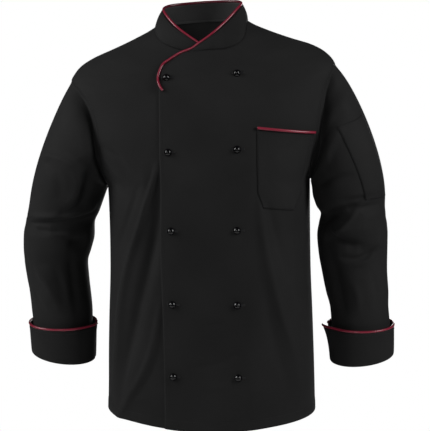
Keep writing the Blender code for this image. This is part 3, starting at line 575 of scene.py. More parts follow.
def row_turns(levels, start, end, columns):
    """Turns of even steps along each row."""
    share = np.linspace(0, 1, FINE_STEPS)
    turns = start[:, None] + (end - start)[:, None] * share
    reached = lengths(torso_plain(turns, levels[:, None]))
    rows = zip(reached, turns)
    return np.array([in_even_steps(along, columns, turn)[0] for along, turn in rows])


# %% Levels of the rows
ROW = 0.0045             # metres between rows
ARMHOLE_ROWS = 70


def armhole_levels(count):
    """Levels beside the armhole, closer together where its seam turns level at top and foot."""
    return ARMHOLE_MIDDLE + np.cos(np.linspace(0, math.pi, count)) * ARMHOLE_HALF


def body_levels(top):
    """Levels from the top of a panel to its hem, with a row on each corner of the armhole."""
    above = np.linspace(top, ARMHOLE_TOP, math.ceil((top - ARMHOLE_TOP) / ROW) + 1)
    below = np.linspace(ARMHOLE_FOOT, HEM_LEVEL, math.ceil((ARMHOLE_FOOT - HEM_LEVEL) / ROW) + 1)
    return np.concatenate([above, armhole_levels(ARMHOLE_ROWS)[1:], below[1:]])


print(len(body_levels(0.0)), "rows on the back")

# %% The back panel
BACK_COLUMNS = 150
HEM_FOLD = 0.018         # the hem is turned up twice to this height
HEM_RAISE = 0.0006
HEM_EDGE = 0.004


def hem_lift(below_top):
    """The turned-up hem stands a little out from the single cloth above it."""
    return HEM_RAISE * ease((HEM_LEVEL + HEM_FOLD - below_top) / HEM_EDGE)


levels = body_levels(0.0)
back_start = side_turn("left", "back", levels)
back_end = math.tau + side_turn("right", "back", levels)
turns = row_turns(levels, back_start, back_end, BACK_COLUMNS)
heights = levels[:, None] - hem_drop(turns, levels[:, None])
WALL = 0.0012            # the cloth and its turned edges
back = sheet_object(
    "back_panel", torso(turns, heights, hem_lift(levels)[:, None]), black_twill, body_middle, WALL
)

# %% [markdown]
# ## The fronts
# The left front closes over the right one, so both run past the middle. The upper front's
# edge starts at the collar, slants across in a curve and then falls nearly straight. A row
# that kept one level would start badly on the flat bottom of the neckline, so here each row
# runs from a point on the inner edge to a point on the outer edge, and its level changes on
# the way.

# %% The inner edge of a front
NECK_HALF = 0.0868
NECK_DROP = 0.045
NECK_POWER = {"left": 3.4, "right": 1.75}
LEADING_EDGE = (         # level, and how far the edge reaches past the middle
    (-0.045, 0.0135),
    (-0.0474, 0.0285),
    (-0.053, 0.0412),
    (-0.0603, 0.0540),
    (-0.0655, 0.0622),
    (-0.0755, 0.0675),
    (-0.0853, 0.0706),
    (-0.100, 0.0710),
    (-0.164, 0.0730),
    (-0.275, 0.0757),
    (-0.406, 0.0795),
    (-0.574, 0.0758),
    (-0.780, 0.0730),
)
leading_sizes = size_table(("level", "reach"), LEADING_EDGE)


def neckline(side, count):
    """The neckline from the shoulder seam to the flap's corner, as x and level."""
    angle = np.linspace(0, math.pi / 2, 200)
    power = 2 / NECK_POWER[side]
    x = NECK_HALF * np.cos(angle) ** power
    level = -NECK_DROP * np.sin(angle) ** power
    x, level = np.append(x, -LEADING_EDGE[0][1]), np.append(level, -NECK_DROP)
    return evenly(np.stack([x * SIGN[side], level], axis=-1), count)


def leading_edge(side, top, foot, count):
    """The front's free edge between two levels, as x and level."""
    level = np.linspace(top, foot, 400)
    x = -SIGN[side] * leading_sizes(level)["reach"]
    return evenly(np.stack([x, level], axis=-1), count)


# %% How far the upper front lies over the lower one
LAP = 0.0028
LAP_MARGIN = 0.006
LAP_EASE = 0.045
NECK_LAP = 0.0028        # more at the neck, where the lower collar's piping passes under
NECK_LAP_HALF = 0.018
NECK_LAP_EASE = 0.035


def lap_lift(x, level):
    """The height of the upper front over the body at x and level."""
    under = leading_sizes(level)["reach"]
    lap = LAP * (1 - ease((x - under - LAP_MARGIN) / LAP_EASE))
    at_neck = 1 - ease((np.abs(x) - NECK_LAP_HALF) / NECK_LAP_EASE)
    at_neck = at_neck * (1 - ease((-level - NECK_DROP) / NECK_LAP_EASE))
    return lap + NECK_LAP * at_neck


def on_front(x, level, over=0.0):
    """Points at a height over the upper front, without its hem and pressed edge."""
    return torso(turn_at(x, level), level, lap_lift(x, level) + over)


# %% The two fronts
FRONT_COLUMNS = 112
NECK_ROWS = 30
SKIRT_ROWS = 104


def front_points(side):
    """The places of a front's grid, as turn and level, row by row."""
    inner = np.concatenate([
        neckline(side, NECK_ROWS),
        leading_edge(side, -NECK_DROP, ARMHOLE_FOOT, ARMHOLE_ROWS)[1:],
        leading_edge(side, ARMHOLE_FOOT, HEM_LEVEL, SKIRT_ROWS)[1:],
    ])
    outer = np.concatenate([
        np.linspace(0.0, ARMHOLE_TOP, NECK_ROWS),
        armhole_levels(ARMHOLE_ROWS)[1:],
        inner[NECK_ROWS + ARMHOLE_ROWS - 1:, 1],
    ])
    start = turn_at(inner[:, 0], inner[:, 1])
    end = side_turn(side, "front", outer)
    share = np.linspace(0, 1, FINE_STEPS)
    turns = start[:, None] + (end - start)[:, None] * share
    level = inner[:, 1][:, None] + (outer - inner[:, 1])[:, None] * share
    rows = zip(lengths(torso_plain(turns, level)), turns, level)
    placed = np.array([in_even_steps(along, FRONT_COLUMNS, *row) for along, *row in rows])
    return placed[:, 0], placed[:, 1]


EDGE_PRESS = 0.0009      # the iron presses the upper front's edge down this far
EDGE_PRESS_HALF = 0.007
EDGE_PRESS_TOP = -0.105


def front_lift(side, turn, level):
    """A front's height over the body: the lap on the upper one, and the turned-up hem."""
    lift = hem_lift(level)
    if side == "left":
        x = torso_plain(turn, level)[..., 0] - torso_sizes(level)["shift"]
        inward = x + leading_sizes(level)["reach"]
        pressed = EDGE_PRESS * np.exp(-(inward / EDGE_PRESS_HALF) ** 2)
        lift = lift + lap_lift(x, level) - pressed * ease((EDGE_PRESS_TOP - level) / 0.02)
    return lift


HEM_STEP = {"left": -0.0022, "right": -0.0028}    # raises both hems in front
fronts = {}
for side in ("right", "left"):
    turns, levels = front_points(side)
    below = ease((FLARE_TOP - levels) / (FLARE_TOP - HEM_LEVEL)) * np.cos(turns) ** 2
    heights = levels - hem_drop(turns, levels) - HEM_STEP[side] * below
    points = torso(turns, heights, front_lift(side, turns, levels), under=side == "right")
    cut = cut_lengths(points, 0)
    fronts[side] = sheet_object(f"{side}_front", points, black_twill, body_middle, WALL, cut=cut)

# %% [markdown]
# ## The sleeves
# A sleeve is one tube with a slanted top that fits the armhole. From the armhole seam each
# line of cloth leaves at its own slope and bends down into the arm. A cubic with four
# points does that. Below it, ellipses at a few levels give the arm, with its slight bend
# at the elbow.

# %% The arm's sections
RING_COLUMNS = ("level", "out", "half_width", "y", "half_depth", "pitch", "roll")
RINGS = {
    "left": (
        (-0.324, 0.2822, 0.0675, 0.002, 0.074, 0.00, 0.00),
        (-0.340, 0.2850, 0.0646, 0.003, 0.072, 0.00, 0.00),
        (-0.355, 0.2900, 0.0610, 0.003, 0.070, 0.00, 0.00),
        (-0.372, 0.2898, 0.0640, 0.003, 0.068, 0.00, 0.00),
        (-0.395, 0.2890, 0.0665, 0.003, 0.067, 0.00, 0.00),
        (-0.430, 0.2905, 0.0648, 0.000, 0.063, 0.00, 0.00),
        (-0.462, 0.2936, 0.0618, -0.003, 0.058, 0.00, 0.00),
        (-0.500, 0.2990, 0.0592, -0.006, 0.054, 0.00, 0.00),
        (-0.535, 0.3040, 0.0550, -0.009, 0.051, 0.05, 0.00),
        (-0.570, 0.3070, 0.0552, -0.011, 0.050, 0.11, 0.00),
        (-0.628, 0.3095, 0.0552, -0.012, 0.050, 0.16, 0.12),
    ),
    "right": (
        (-0.324, 0.2537, 0.0713, 0.002, 0.074, 0.00, 0.00),
        (-0.355, 0.2622, 0.0685, 0.003, 0.070, 0.00, 0.00),
        (-0.378, 0.2708, 0.0675, 0.003, 0.068, 0.00, 0.00),
        (-0.402, 0.2718, 0.0680, 0.003, 0.066, 0.00, 0.00),
        (-0.430, 0.2750, 0.0648, 0.000, 0.062, 0.00, 0.00),
        (-0.450, 0.2770, 0.0610, -0.002, 0.058, 0.00, 0.00),
        (-0.480, 0.2740, 0.0598, -0.004, 0.055, 0.00, 0.00),
        (-0.510, 0.2695, 0.0587, -0.006, 0.053, 0.02, 0.00),
        (-0.540, 0.2660, 0.0585, -0.009, 0.051, 0.06, 0.00),
        (-0.570, 0.2640, 0.0572, -0.011, 0.050, 0.11, 0.00),
        (-0.628, 0.2630, 0.0565, -0.012, 0.050, 0.16, 0.12),
    ),
}
SLEEVE_TOP = -0.324
SLEEVE_END = {"left": -0.621, "right": -0.627}
CAP = {
    "left": {"top_slope": 50.0, "foot_slope": 56.0, "roll_out": 0.42, "pull": 0.27},
    "right": {"top_slope": 63.0, "foot_slope": 56.0, "roll_out": 0.42, "pull": 0.33},
}
ring_sizes = {side: size_table(RING_COLUMNS, rows) for side, rows in RINGS.items()}


def ring_point(side, turn, level):
    """Points of the sleeve below the cap. Turn 0 is the outer side and a quarter turn the front."""
    turn, level = together(turn, level)
    size = ring_sizes[side](level)
    out = size["half_width"] * np.cos(turn)
    forward = -size["half_depth"] * np.sin(turn)
    z = level + size["pitch"] * forward + size["roll"] * out
    return np.stack([SIGN[side] * (size["out"] + out), size["y"] + forward, z], axis=-1)


# %% The sleeve's cap
def armhole_point(side, turn):
    """Points of the armhole seam, by the turn round the sleeve."""
    level = ARMHOLE_MIDDLE + np.cos(turn) * ARMHOLE_HALF
    ahead = armhole_turn(side, "front", level)
    behind = armhole_turn(side, "back", level)
    return torso(np.where(np.sin(turn) >= 0, ahead, behind), level, under=side == "right")


def cap_point(side, turn, share):
    """Points between the armhole, where share is 0, and the first ring, where it is 1."""
    shape = CAP[side]
    start, end = armhole_point(side, turn), ring_point(side, turn, SLEEVE_TOP)
    top_share = (1 + np.cos(turn)) / 2
    slope = np.radians(shape["top_slope"] * top_share + shape["foot_slope"] * (1 - top_share))
    leave = unit(np.stack(
        [SIGN[side] * np.cos(slope), -shape["roll_out"] * np.sin(turn), -np.sin(slope)], axis=-1
    ))
    arrive = unit(ring_point(side, turn, SLEEVE_TOP - 0.01) - end)
    pull = np.linalg.norm(end - start, axis=-1, keepdims=True) * shape["pull"]
    clear = np.zeros_like(start)
    clear[..., 0] = SIGN[side] * SEAM * (1 - top_share) ** 2
    first = start + leave * SEAM + clear
    second, third = first + leave * pull, end - arrive * pull
    share = np.asarray(share, float)[..., None]
    rest = 1 - share
    return (
        first * rest ** 3
        + second * 3 * rest * rest * share
        + third * 3 * rest * share * share
        + end * share ** 3
    )


# %% The sleeve's folds
ARM_RADIUS = 0.065       # turns degrees round the arm into metres
CUFF_COVER = 0.11
CUFF_FADE = 0.05
SLEEVE_FOLDS = {
    "left": (
        ((164, -373, 0, 15), (144, -365, -6.5, 15), (94, -343, -6.5, 15), (74, -335, 0, 15)),
        ((96, -343, 0, 14), (79, -338, -5, 14), (38, -328, -5, 14), (21, -323, 0, 14)),
        ((143, -396, 0, 13), (130, -399, -5, 13), (95, -406, -5, 13), (82, -409, 0, 13)),
        ((98, -404, 0, 13), (85, -409, -4.5, 13), (53, -421, -4.5, 13), (40, -426, 0, 13)),
        ((153, -387, 0, 12), (132, -383, 4.5, 12), (78, -374, 4.5, 12), (57, -370, 0, 12)),
        ((125, -440, 0, 18), (123, -465, -4, 18), (120, -530, -4, 18), (118, -555, 0, 18)),
        ((83, -189, 0, 18), (91, -207, -6, 18), (111, -253, -6, 18), (119, -271, 0, 18)),
        ((190, -361, 0, 15), (215, -367, -5.5, 15), (280, -383, -5.5, 15), (305, -389, 0, 15)),
        ((212, -423, 0, 15), (234, -418, -4, 15), (291, -407, -4, 15), (314, -402, 0, 15)),
    ),
    "right": (
        ((-7, -373, 0, 12), (13, -375, -6.5, 12), (63, -381, -6.5, 12), (83, -383, 0, 12)),
        ((56, -383, 0, 12), (81, -381, -6.5, 12), (145, -375, -6.5, 12), (170, -373, 0, 12)),
        ((50, -250, 0, 18), (67, -270, 6, 18), (109, -319, 6, 18), (126, -339, 0, 18)),
        ((88, -245, 0, 16), (108, -261, -6, 16), (157, -302, -6, 16), (177, -318, 0, 16)),
        ((97, -353, 0, 12), (110, -351, 4, 12), (145, -346, 4, 12), (158, -344, 0, 12)),
        ((115, -409, 0, 14), (124, -411, -5.5, 14), (146, -417, -5.5, 14), (155, -419, 0, 14)),
        ((75, -451, 0, 16), (76, -468, 3.5, 16), (80, -511, 3.5, 16), (81, -528, 0, 16)),
        ((188, -368, 0, 15), (216, -371, -5.5, 15), (289, -379, -5.5, 15), (317, -382, 0, 15)),
        ((204, -297, 0, 16), (222, -285, -5, 16), (268, -255, -5, 16), (286, -243, 0, 16)),
    ),
}


# %% [markdown]
# A sleeve is crumpled most where the arm bends, so its creases cross it there in short arcs.
# Beside the armhole the cloth dips in, because the seam holds it down.

# %% The sleeves' creases, as degrees round the arm, level, rise and half width
SLEEVE_CREASES = {
    "right": (
        ((10, -240, 0, 7), (31, -244, 2.2, 7), (65, -246, 3.2, 7), (89, -262, 3.6, 7),
         (106, -290, 3.4, 7), (110, -320, 2.8, 7), (96, -341, 0, 7)),
        ((36, -254, 0, 8), (55, -264, -2.2, 8), (76, -284, -2.8, 9), (88, -308, -2, 9),
         (88, -328, 0, 9)),
        ((98, -236, 0, 8), (108, -255, -3, 8), (122, -296, -4.2, 9), (126, -334, -4.6, 9),
         (104, -353, -3.6, 8), (86, -356, 0, 7)),
        ((0, -372, 0, 4), (12, -372, -2.2, 4), (40, -373, -3.2, 4.2), (72, -371, -3.4, 4.5),
         (115, -367, -3.4, 4.8), (146, -357, -2.4, 5), (162, -350, 0, 5)),
        ((34, -383, 0, 3.5), (50, -386, -1.6, 3.8), (82, -390, -2.2, 4.2), (120, -386, -1.6, 4.2),
         (136, -381, 0, 4)),
        ((12, -360, 0, 5), (33, -361, 2, 5), (80, -360, 2.6, 5.5), (110, -356, 2, 5.5),
         (130, -350, 0, 5)),
        ((86, -394, 0, 6), (101, -399, -2.2, 6), (128, -407, -3, 7), (154, -402, 0, 7)),
        ((124, -425, 0, 8), (128, -463, -2.4, 9), (126, -519, -2.6, 10), (128, -559, 0, 9)),
        ((44, -500, 0, 7), (50, -521, -1.4, 7), (74, -560, -1.4, 8), (84, -580, 0, 8)),
        ((56, -440, 0, 7), (62, -463, 2, 7), (80, -490, 2.4, 8), (90, -518, 1.6, 8),
         (94, -545, 0, 8)),
        ((96, -450, 0, 8), (102, -490, -1.8, 9), (104, -530, 0, 9)),
        ((20, -430, 0, 7), (34, -446, -1.6, 7), (44, -470, 0, 7)),
        ((200, -352, 0, 6), (232, -362, -3, 6), (276, -372, -3.4, 6), (312, -376, 0, 6)),
        ((214, -384, 0, 5), (250, -392, -2.4, 6), (296, -390, -2, 6), (322, -386, 0, 6)),
        ((206, -336, 0, 6), (240, -343, 2.6, 6), (280, -352, 2.2, 6), (306, -356, 0, 6)),
        ((212, -250, 0, 8), (244, -262, -3, 8), (262, -292, -2.4, 9), (266, -322, 0, 9)),
        ((226, -430, 0, 8), (238, -476, -2.4, 9), (234, -540, 0, 9)),
        ((276, -420, 0, 7), (284, -470, 2.2, 8), (272, -530, 0, 8)),
    ),
    "left": (
        ((6, -98, 0, 8), (19, -106, -1.6, 8), (49, -134, -2.2, 9), (83, -181, -1.2, 8),
         (92, -200, 0, 8)),
        ((44, -154, 0, 7), (58, -167, -2.6, 7), (81, -191, -4, 7.5), (102, -214, -4.4, 8),
         (122, -245, -3.8, 8), (141, -277, -2, 8), (150, -296, 0, 8)),
        ((54, -178, 0, 6), (76, -205, 2.4, 6), (98, -232, 2.8, 6.5), (114, -262, 0, 6.5)),
        ((140, -296, 0, 7), (127, -290, -2.4, 7), (108, -281, -2.8, 7), (84, -276, -1.8, 7),
         (68, -270, 0, 7)),
        ((176, -380, 0, 6), (160, -371, -3, 6), (126, -348, -4.2, 6), (100, -336, -3.6, 6),
         (84, -331, -2.4, 6), (66, -328, 0, 6)),
        ((110, -326, 0, 5), (96, -322, -2.2, 5.5), (75, -318, -2.8, 5.5), (53, -313, -2.2, 5.5),
         (36, -308, 0, 5)),
        ((124, -390, 0, 5), (112, -381, 2.4, 5), (96, -358, 3.2, 5), (68, -326, 2.6, 5),
         (46, -303, 1.6, 5), (34, -292, 0, 5)),
        ((146, -372, 0, 6), (132, -383, -3, 6), (112, -398, -4, 6), (88, -404, -3, 6),
         (70, -404, 0, 6)),
        ((116, -426, 0, 6), (98, -431, -2.6, 6), (74, -431, -3.4, 6), (52, -418, -2.6, 6),
         (38, -410, 0, 6)),
        ((92, -444, 0, 5), (76, -441, 2.2, 5), (56, -430, 2.8, 5), (40, -402, 2, 5.5),
         (34, -380, 0, 5.5)),
        ((84, -336, 0, 5), (68, -336, -2, 5), (46, -334, -2.4, 5.5), (28, -330, 0, 5)),
        ((128, -414, 0, 8), (126, -440, -2.2, 9), (121, -492, -3, 9), (124, -559, 0, 9)),
        ((96, -470, 0, 8), (88, -500, 1.8, 8), (92, -545, 0, 8)),
        ((60, -455, 0, 7), (50, -485, -1.6, 8), (54, -530, 0, 8)),
        ((202, -340, 0, 6), (236, -352, -3.2, 6), (274, -352, -3, 6), (306, -342, 0, 6)),
        ((216, -372, 0, 5), (252, -382, 2.6, 5.5), (288, -372, 2.2, 5.5), (310, -362, 0, 5)),
        ((210, -400, 0, 6), (246, -414, -3.2, 6), (290, -408, -2.6, 6.5), (314, -400, 0, 6)),
        ((220, -230, 0, 8), (248, -252, -3, 8), (272, -284, 0, 8)),
        ((236, -446, 0, 8), (230, -500, -2.4, 9), (238, -560, 0, 9)),
    ),
}
SLEEVE_CREASE_DEPTH = 1.7
SEAM_DIP = 0.0120        # how far the cloth drops beside the armhole seam
SEAM_DIP_REACH = 0.12    # how far from the seam it is level again, as a share of the cap
SEAM_ROLL = 0.0045       # how far it rolls out again beyond the dip, in front and behind
SEAM_ROLL_AT = 0.25
SEAM_ROLL_HALF = 0.12
SEAM_EDGE = 0.022        # the drop starts from nothing at the seam over this share
LEAST_DIP = 0.15         # the share of the drop at the seam's top and foot


def seam_shape(turn, place):
    """The drop beside the armhole seam and the roll of cloth that follows it."""
    across = np.abs(np.sin(turn))
    drop = np.exp(-(place / SEAM_DIP_REACH) ** 2) * ease(place / SEAM_EDGE)
    roll = np.exp(-((place - SEAM_ROLL_AT) / SEAM_ROLL_HALF) ** 2)
    drop = SEAM_DIP * drop * (LEAST_DIP + (1 - LEAST_DIP) * ease(across / 0.6))
    return SEAM_ROLL * roll * ease((across - 0.35) / 0.4) - drop


def sleeve_frame(side, turn, place):
    """The sleeve without folds. place runs 0 to 1 over the cap, then on by metres."""
    turn, place = together(turn, place)
    cap = cap_point(side, turn, np.clip(place, 0, 1))
    rings = ring_point(side, turn, SLEEVE_TOP - np.maximum(place - 1, 0))
    return np.where((place <= 1)[..., None], cap, rings)


def sleeve_normal(side, turn, place):
    around = sleeve_frame(side, turn + 0.02, place) - sleeve_frame(side, turn - 0.02, place)
    along = sleeve_frame(side, turn, place + 1e-3)
    along = along - sleeve_frame(side, turn, np.maximum(place - 1e-3, 0.0))
    return unit(np.cross(around, along)) * SIGN[side]


def sleeve(side, turn, place, lift=0.0):
    """Points of the sleeve's outer face with its folds, moved out by lift."""
    turn, place = together(turn, place)
    base = sleeve_frame(side, turn, place)
    degrees = np.degrees(turn) % 360
    degrees = np.where(degrees > 330, degrees - 360, degrees)
    rising = np.where(place < 1, ease(place * 2), 1.0)
    cuffward = place - 1 - (SLEEVE_TOP - SLEEVE_END[side]) + CUFF_COVER
    height, width_per_degree = base[..., 2], math.radians(ARM_RADIUS)
    raised = crease_height(SLEEVE_FOLDS[side], degrees, height, width_per_degree) * rising
    creased = crease_height(SLEEVE_CREASES[side], degrees, height, width_per_degree)
    raised = raised + SLEEVE_CREASE_DEPTH * creased * ease(place * 9)
    raised = raised + seam_shape(turn, place)
    raised = raised * (1 - ease(cuffward / CUFF_FADE))
    return base + sleeve_normal(side, turn, place) * (raised + lift)[..., None]


# %% The two sleeves
SLEEVE_COLUMNS = 161
CAP_STEPS = 70
SLEEVE_ROW = 0.003


def sleeve_places(side):
    below = SLEEVE_TOP - SLEEVE_END[side]
    count = round(below / SLEEVE_ROW)
    return np.concatenate([
        [0.0, 0.006], np.linspace(0.015, 1, CAP_STEPS + 1), 1 + np.linspace(0, below, count + 1)[1:]
    ])


def arm_middle(side):
    """A function that gives the middle of the arm's hollow at a point's height."""
    def middle(point):
        size = ring_sizes[side](min(point.z, SLEEVE_TOP))
        return SIGN[side] * float(size["out"]), float(size["y"]), point.z
    return middle


sleeves = {}
for side in ("right", "left"):
    turns = np.linspace(math.pi, 3 * math.pi, SLEEVE_COLUMNS)
    places = sleeve_places(side)
    points = sleeve(side, turns[None, :], places[:, None])
    sleeves[side] = sheet_object(
        f"{side}_sleeve", points, black_twill, arm_middle(side), WALL, welded=True
    )

# %% [markdown]
# ## The cuffs
# The turned-back cuff is a second layer: the cloth goes round the sleeve's end and up its
# outside, and its top corners stand apart at a vent on the inner side.

# %% Cuffs
CUFF_SECTION = (         # distance along the section, lift from the sleeve, rise from its end
    (0.0000, -0.0016, -0.0004),
    (0.0026, -0.0016, -0.0030),
    (0.0057, 0.0000, -0.0056),
    (0.0087, 0.0030, -0.0058),
    (0.0120, 0.0054, -0.0035),
    (0.0186, 0.0060, 0.0030),
    (0.0406, 0.0068, 0.0250),
    (0.0706, 0.0078, 0.0550),
)
CUFF_WALL = 0.0015
CUFF_VENT = 6.0          # half the vent's width, in degrees round the arm
CUFF_FLARE = {"left": 0.009, "right": 0.003}
CUFF_FLARE_SPAN = 40.0
CUFF_TURNED = 0.0186     # along the section, where its turn ends and it runs straight
CUFF_TOP = CUFF_SECTION[-1]
section_sizes = size_table(("along", "lift", "rise"), CUFF_SECTION)


def cuff_point(side, turn, lift, rise):
    """Points of the cuff, with its front corner at the vent standing away."""
    place = 1 + SLEEVE_TOP - (SLEEVE_END[side] + rise)
    degrees = np.degrees(turn) % 360
    corner = ease(1 - np.abs(degrees - (180 - CUFF_VENT)) / CUFF_FLARE_SPAN) * (degrees <= 180)
    height = np.maximum(rise, 0.0) / CUFF_TOP[2]
    lift = lift + CUFF_FLARE[side] * corner * height * height
    base = ring_point(side, turn, SLEEVE_TOP - (place - 1))
    return base + sleeve_normal(side, turn, place) * np.asarray(lift)[..., None]


CUFF_COLUMNS = 97
cuff_turns = np.radians(np.linspace(180 + CUFF_VENT, 540 - CUFF_VENT, CUFF_COLUMNS))
cuffs = {}
for side in ("right", "left"):
    straight = np.linspace(CUFF_TURNED, CUFF_TOP[0], 20)[1:]
    along = np.concatenate([np.linspace(0, CUFF_TURNED, 14), straight])
    section = section_sizes(along[::-1])
    lift, rise = section["lift"][:, None], section["rise"][:, None]
    points = cuff_point(side, cuff_turns[None, :], lift, rise)
    cuffs[side] = sheet_object(f"{side}_cuff", points, black_twill, arm_middle(side), CUFF_WALL)

# %% [markdown]
# ## The collar
# A stand collar is a strip sewn to the neckline. Its foot follows the neck seam and its top
# is a line of its own, high behind and falling to the flap in front. Stiffening keeps it
# upright, with a slight bulge.

# %% The collar's lines
COLLAR_SEAM = 0.0003
COLLAR_WALL = 0.0018
COLLAR_EDGE = (          # angle round the neck from the front, height of the edge
    (-14.0, -0.0450),
    (-11.0, -0.0442),
    (0.0, -0.0352),
    (20.0, -0.0172),
    (39.0, -0.0003),
    (55.0, 0.0140),
    (70.0, 0.0245),
    (90.0, 0.0312),
    (130.0, 0.0365),
    (180.0, 0.0380),
)
COLLAR_EDGE_HALF = 0.0752
COLLAR_EDGE_SHIFT = 0.0048
COLLAR_EDGE_FRONT = 0.064
COLLAR_EDGE_BACK = 0.046
COLLAR_BULGE = 0.0025
COLLAR_FULL = 0.030
COLLAR_UPRIGHT = 0.020
collar_sizes = size_table(("turn", "height"), COLLAR_EDGE)
LEAN_AT_NECK = float(torso_sizes(0.0)["lean"])


def collar_top(plan_turn, lift):
    """Points of the collar's upper edge, by the angle round the neck."""
    ahead = np.cos(plan_turn)
    degrees = np.degrees(plan_turn)
    height = collar_sizes(np.where(degrees <= 180, degrees, 360 - degrees))["height"]
    depth = np.where(ahead > 0, COLLAR_EDGE_FRONT, COLLAR_EDGE_BACK)
    reach = np.hypot(np.sin(plan_turn) * COLLAR_EDGE_HALF, ahead * depth)
    share = (reach + lift) / reach
    x, y = COLLAR_EDGE_HALF * np.sin(plan_turn) * share, -depth * ahead * share
    return np.stack([x + COLLAR_EDGE_SHIFT, y, height + LEAN_AT_NECK * x], axis=-1)


# %% The collar
COLLAR_ROWS = 13
COLLAR_LIP = (-0.0004, 0.0008, 0.0025)    # rows under the body's edge, by their reach down
LIP_CLEAR = 0.0002
upper, lower = neckline("left", 60)[::-1], neckline("right", 60)
behind = np.linspace(math.pi / 2, 3 * math.pi / 2, 70)[1:-1]
seam_turn = np.concatenate([
    turn_at(upper[:, 0], upper[:, 1]), behind, math.tau + turn_at(lower[:, 0], lower[:, 1])
])
seam_level = np.concatenate([upper[:, 1], np.zeros(len(behind)), lower[:, 1]])
flap_lift = lap_lift(upper[:, 0], upper[:, 1])
seam_lift = np.concatenate([flap_lift, np.zeros(len(behind) + len(lower))])
feet = torso(seam_turn, seam_level, seam_lift)
plan_turns = np.unwrap(np.arctan2(feet[:, 0] - COLLAR_EDGE_SHIFT, -feet[:, 1]))
tops = collar_top(plan_turns, seam_lift)
drawn_in = np.minimum((tops[:, 2] - feet[:, 2]) / COLLAR_UPRIGHT, 1.0)[:, None]
tops[:, :2] = feet[:, :2] + (tops[:, :2] - feet[:, :2]) * drawn_in
feet = feet + unit(tops - feet) * COLLAR_SEAM
share = np.linspace(0, 1, COLLAR_ROWS)[:, None, None]
full = np.minimum(np.linalg.norm(tops - feet, axis=-1) / COLLAR_FULL, 1.0)[None, :, None]
radial = np.stack([np.sin(plan_turns), -np.cos(plan_turns), np.zeros(len(plan_turns))], axis=-1)
bulge = radial * COLLAR_BULGE * 4 * share * (1 - share) * full
collar_points = tops + (feet - tops) * share + bulge
inside = torso_normal(seam_turn, seam_level - MM) * (WALL + LIP_CLEAR)
down = unit(feet - tops)
lip = [feet - inside + down * reach for reach in COLLAR_LIP]
collar_points = np.concatenate([collar_points, lip])


def neck_middle(point):
    return COLLAR_EDGE_SHIFT, 0.0, point.z


collar = sheet_object("stand_collar", collar_points, black_twill, neck_middle, COLLAR_WALL)

# %% [markdown]
# ## The pockets
# Both pockets are patches: the edges are turned under and the patch is sewn flat on the
# panel. A patch drawn on its panel's own surface, moved out by less than a millimetre, lies
# right everywhere.

# %% The chest pocket
PATCH_WALL = 0.0009
PATCH_STAND = 0.0004
POCKET_INNER = 0.104
POCKET_OUTER = 0.204
POCKET_MOUTH = -0.1905
POCKET_SLANT = 0.17
POCKET_HEIGHT = 0.142
POCKET_CORNER = (0.011, 0.028)
POCKET_LEAN = 0.006
POCKET_NARROWING = 0.031
POCKET_NARROWING_CURVE = 1.6


def pocket_point(down, across, lift):
    """Points of the chest pocket, by metres below its mouth and the share across it."""
    corner_x, corner_z = POCKET_CORNER
    share = down / POCKET_HEIGHT
    cut = np.maximum(down - (POCKET_HEIGHT - corner_z), 0.0) / corner_z * corner_x
    narrowing = POCKET_NARROWING * (1 - (1 - share) ** POCKET_NARROWING_CURVE)
    inner = POCKET_INNER - POCKET_LEAN * share + cut
    x = inner + (POCKET_OUTER - narrowing - cut - inner) * across
    level = POCKET_MOUTH - POCKET_SLANT * (x - POCKET_INNER) - down
    return on_front(x, level, lift)


downs = np.linspace(0, POCKET_HEIGHT, 41)[:, None]
across = np.linspace(0, 1, 31)[None, :]
chest_pocket = sheet_object(
    "chest_pocket_patch", pocket_point(downs, across, PATCH_STAND + PATCH_WALL), black_twill,
    body_middle, PATCH_WALL
)

# %% The pen pocket
PEN_FRONT_TURN = (67.0, 63.0)
PEN_BACK_TURN = (14.0, 11.0)
PEN_MOUTH = (-0.1850, -0.1655)
PEN_FOOT = 0.98


def pen_point(down, across, lift):
    """Points of the pen pocket, by the shares down and across it."""
    front = PEN_FRONT_TURN[0] + (PEN_FRONT_TURN[1] - PEN_FRONT_TURN[0]) * down
    behind = PEN_BACK_TURN[0] + (PEN_BACK_TURN[1] - PEN_BACK_TURN[0]) * down
    turn = np.radians(front + (behind - front) * across)
    mouth = []
    for share, at in zip(across[0], turn[0]):
        places = np.linspace(0.0, 1.0, 200)
        heights = sleeve_frame("left", np.full(200, at), places)[:, 2]
        height = PEN_MOUTH[0] + (PEN_MOUTH[1] - PEN_MOUTH[0]) * share
        mouth.append(np.interp(-height, -heights, places))
    mouth = np.array(mouth)[None, :]
    return sleeve("left", turn, mouth + (PEN_FOOT - mouth) * down, lift)


downs, across = np.linspace(0, 1, 41)[:, None], np.linspace(0, 1, 19)[None, :]
pen_pocket = sheet_object(
    "pen_pocket_patch", pen_point(downs, across, PATCH_STAND + PATCH_WALL), black_twill,
    arm_middle("left"), PATCH_WALL
)

# %% [markdown]
# ## The piping
# Piping is a cord inside a folded strip of satin, caught in the seam along an edge. It is a
# round tube here, made from the same kind of grid: rows along the cord, columns round it,
# welded into a tube and capped.

# %% Red satin and the piping's tube
PIPING = 0.0024
POCKET_PIPING = 0.0027
CUFF_PIPING_SINK = 0.0009    # how far the cord's middle lies under the cuff's face
PIPING_COLUMNS = 13


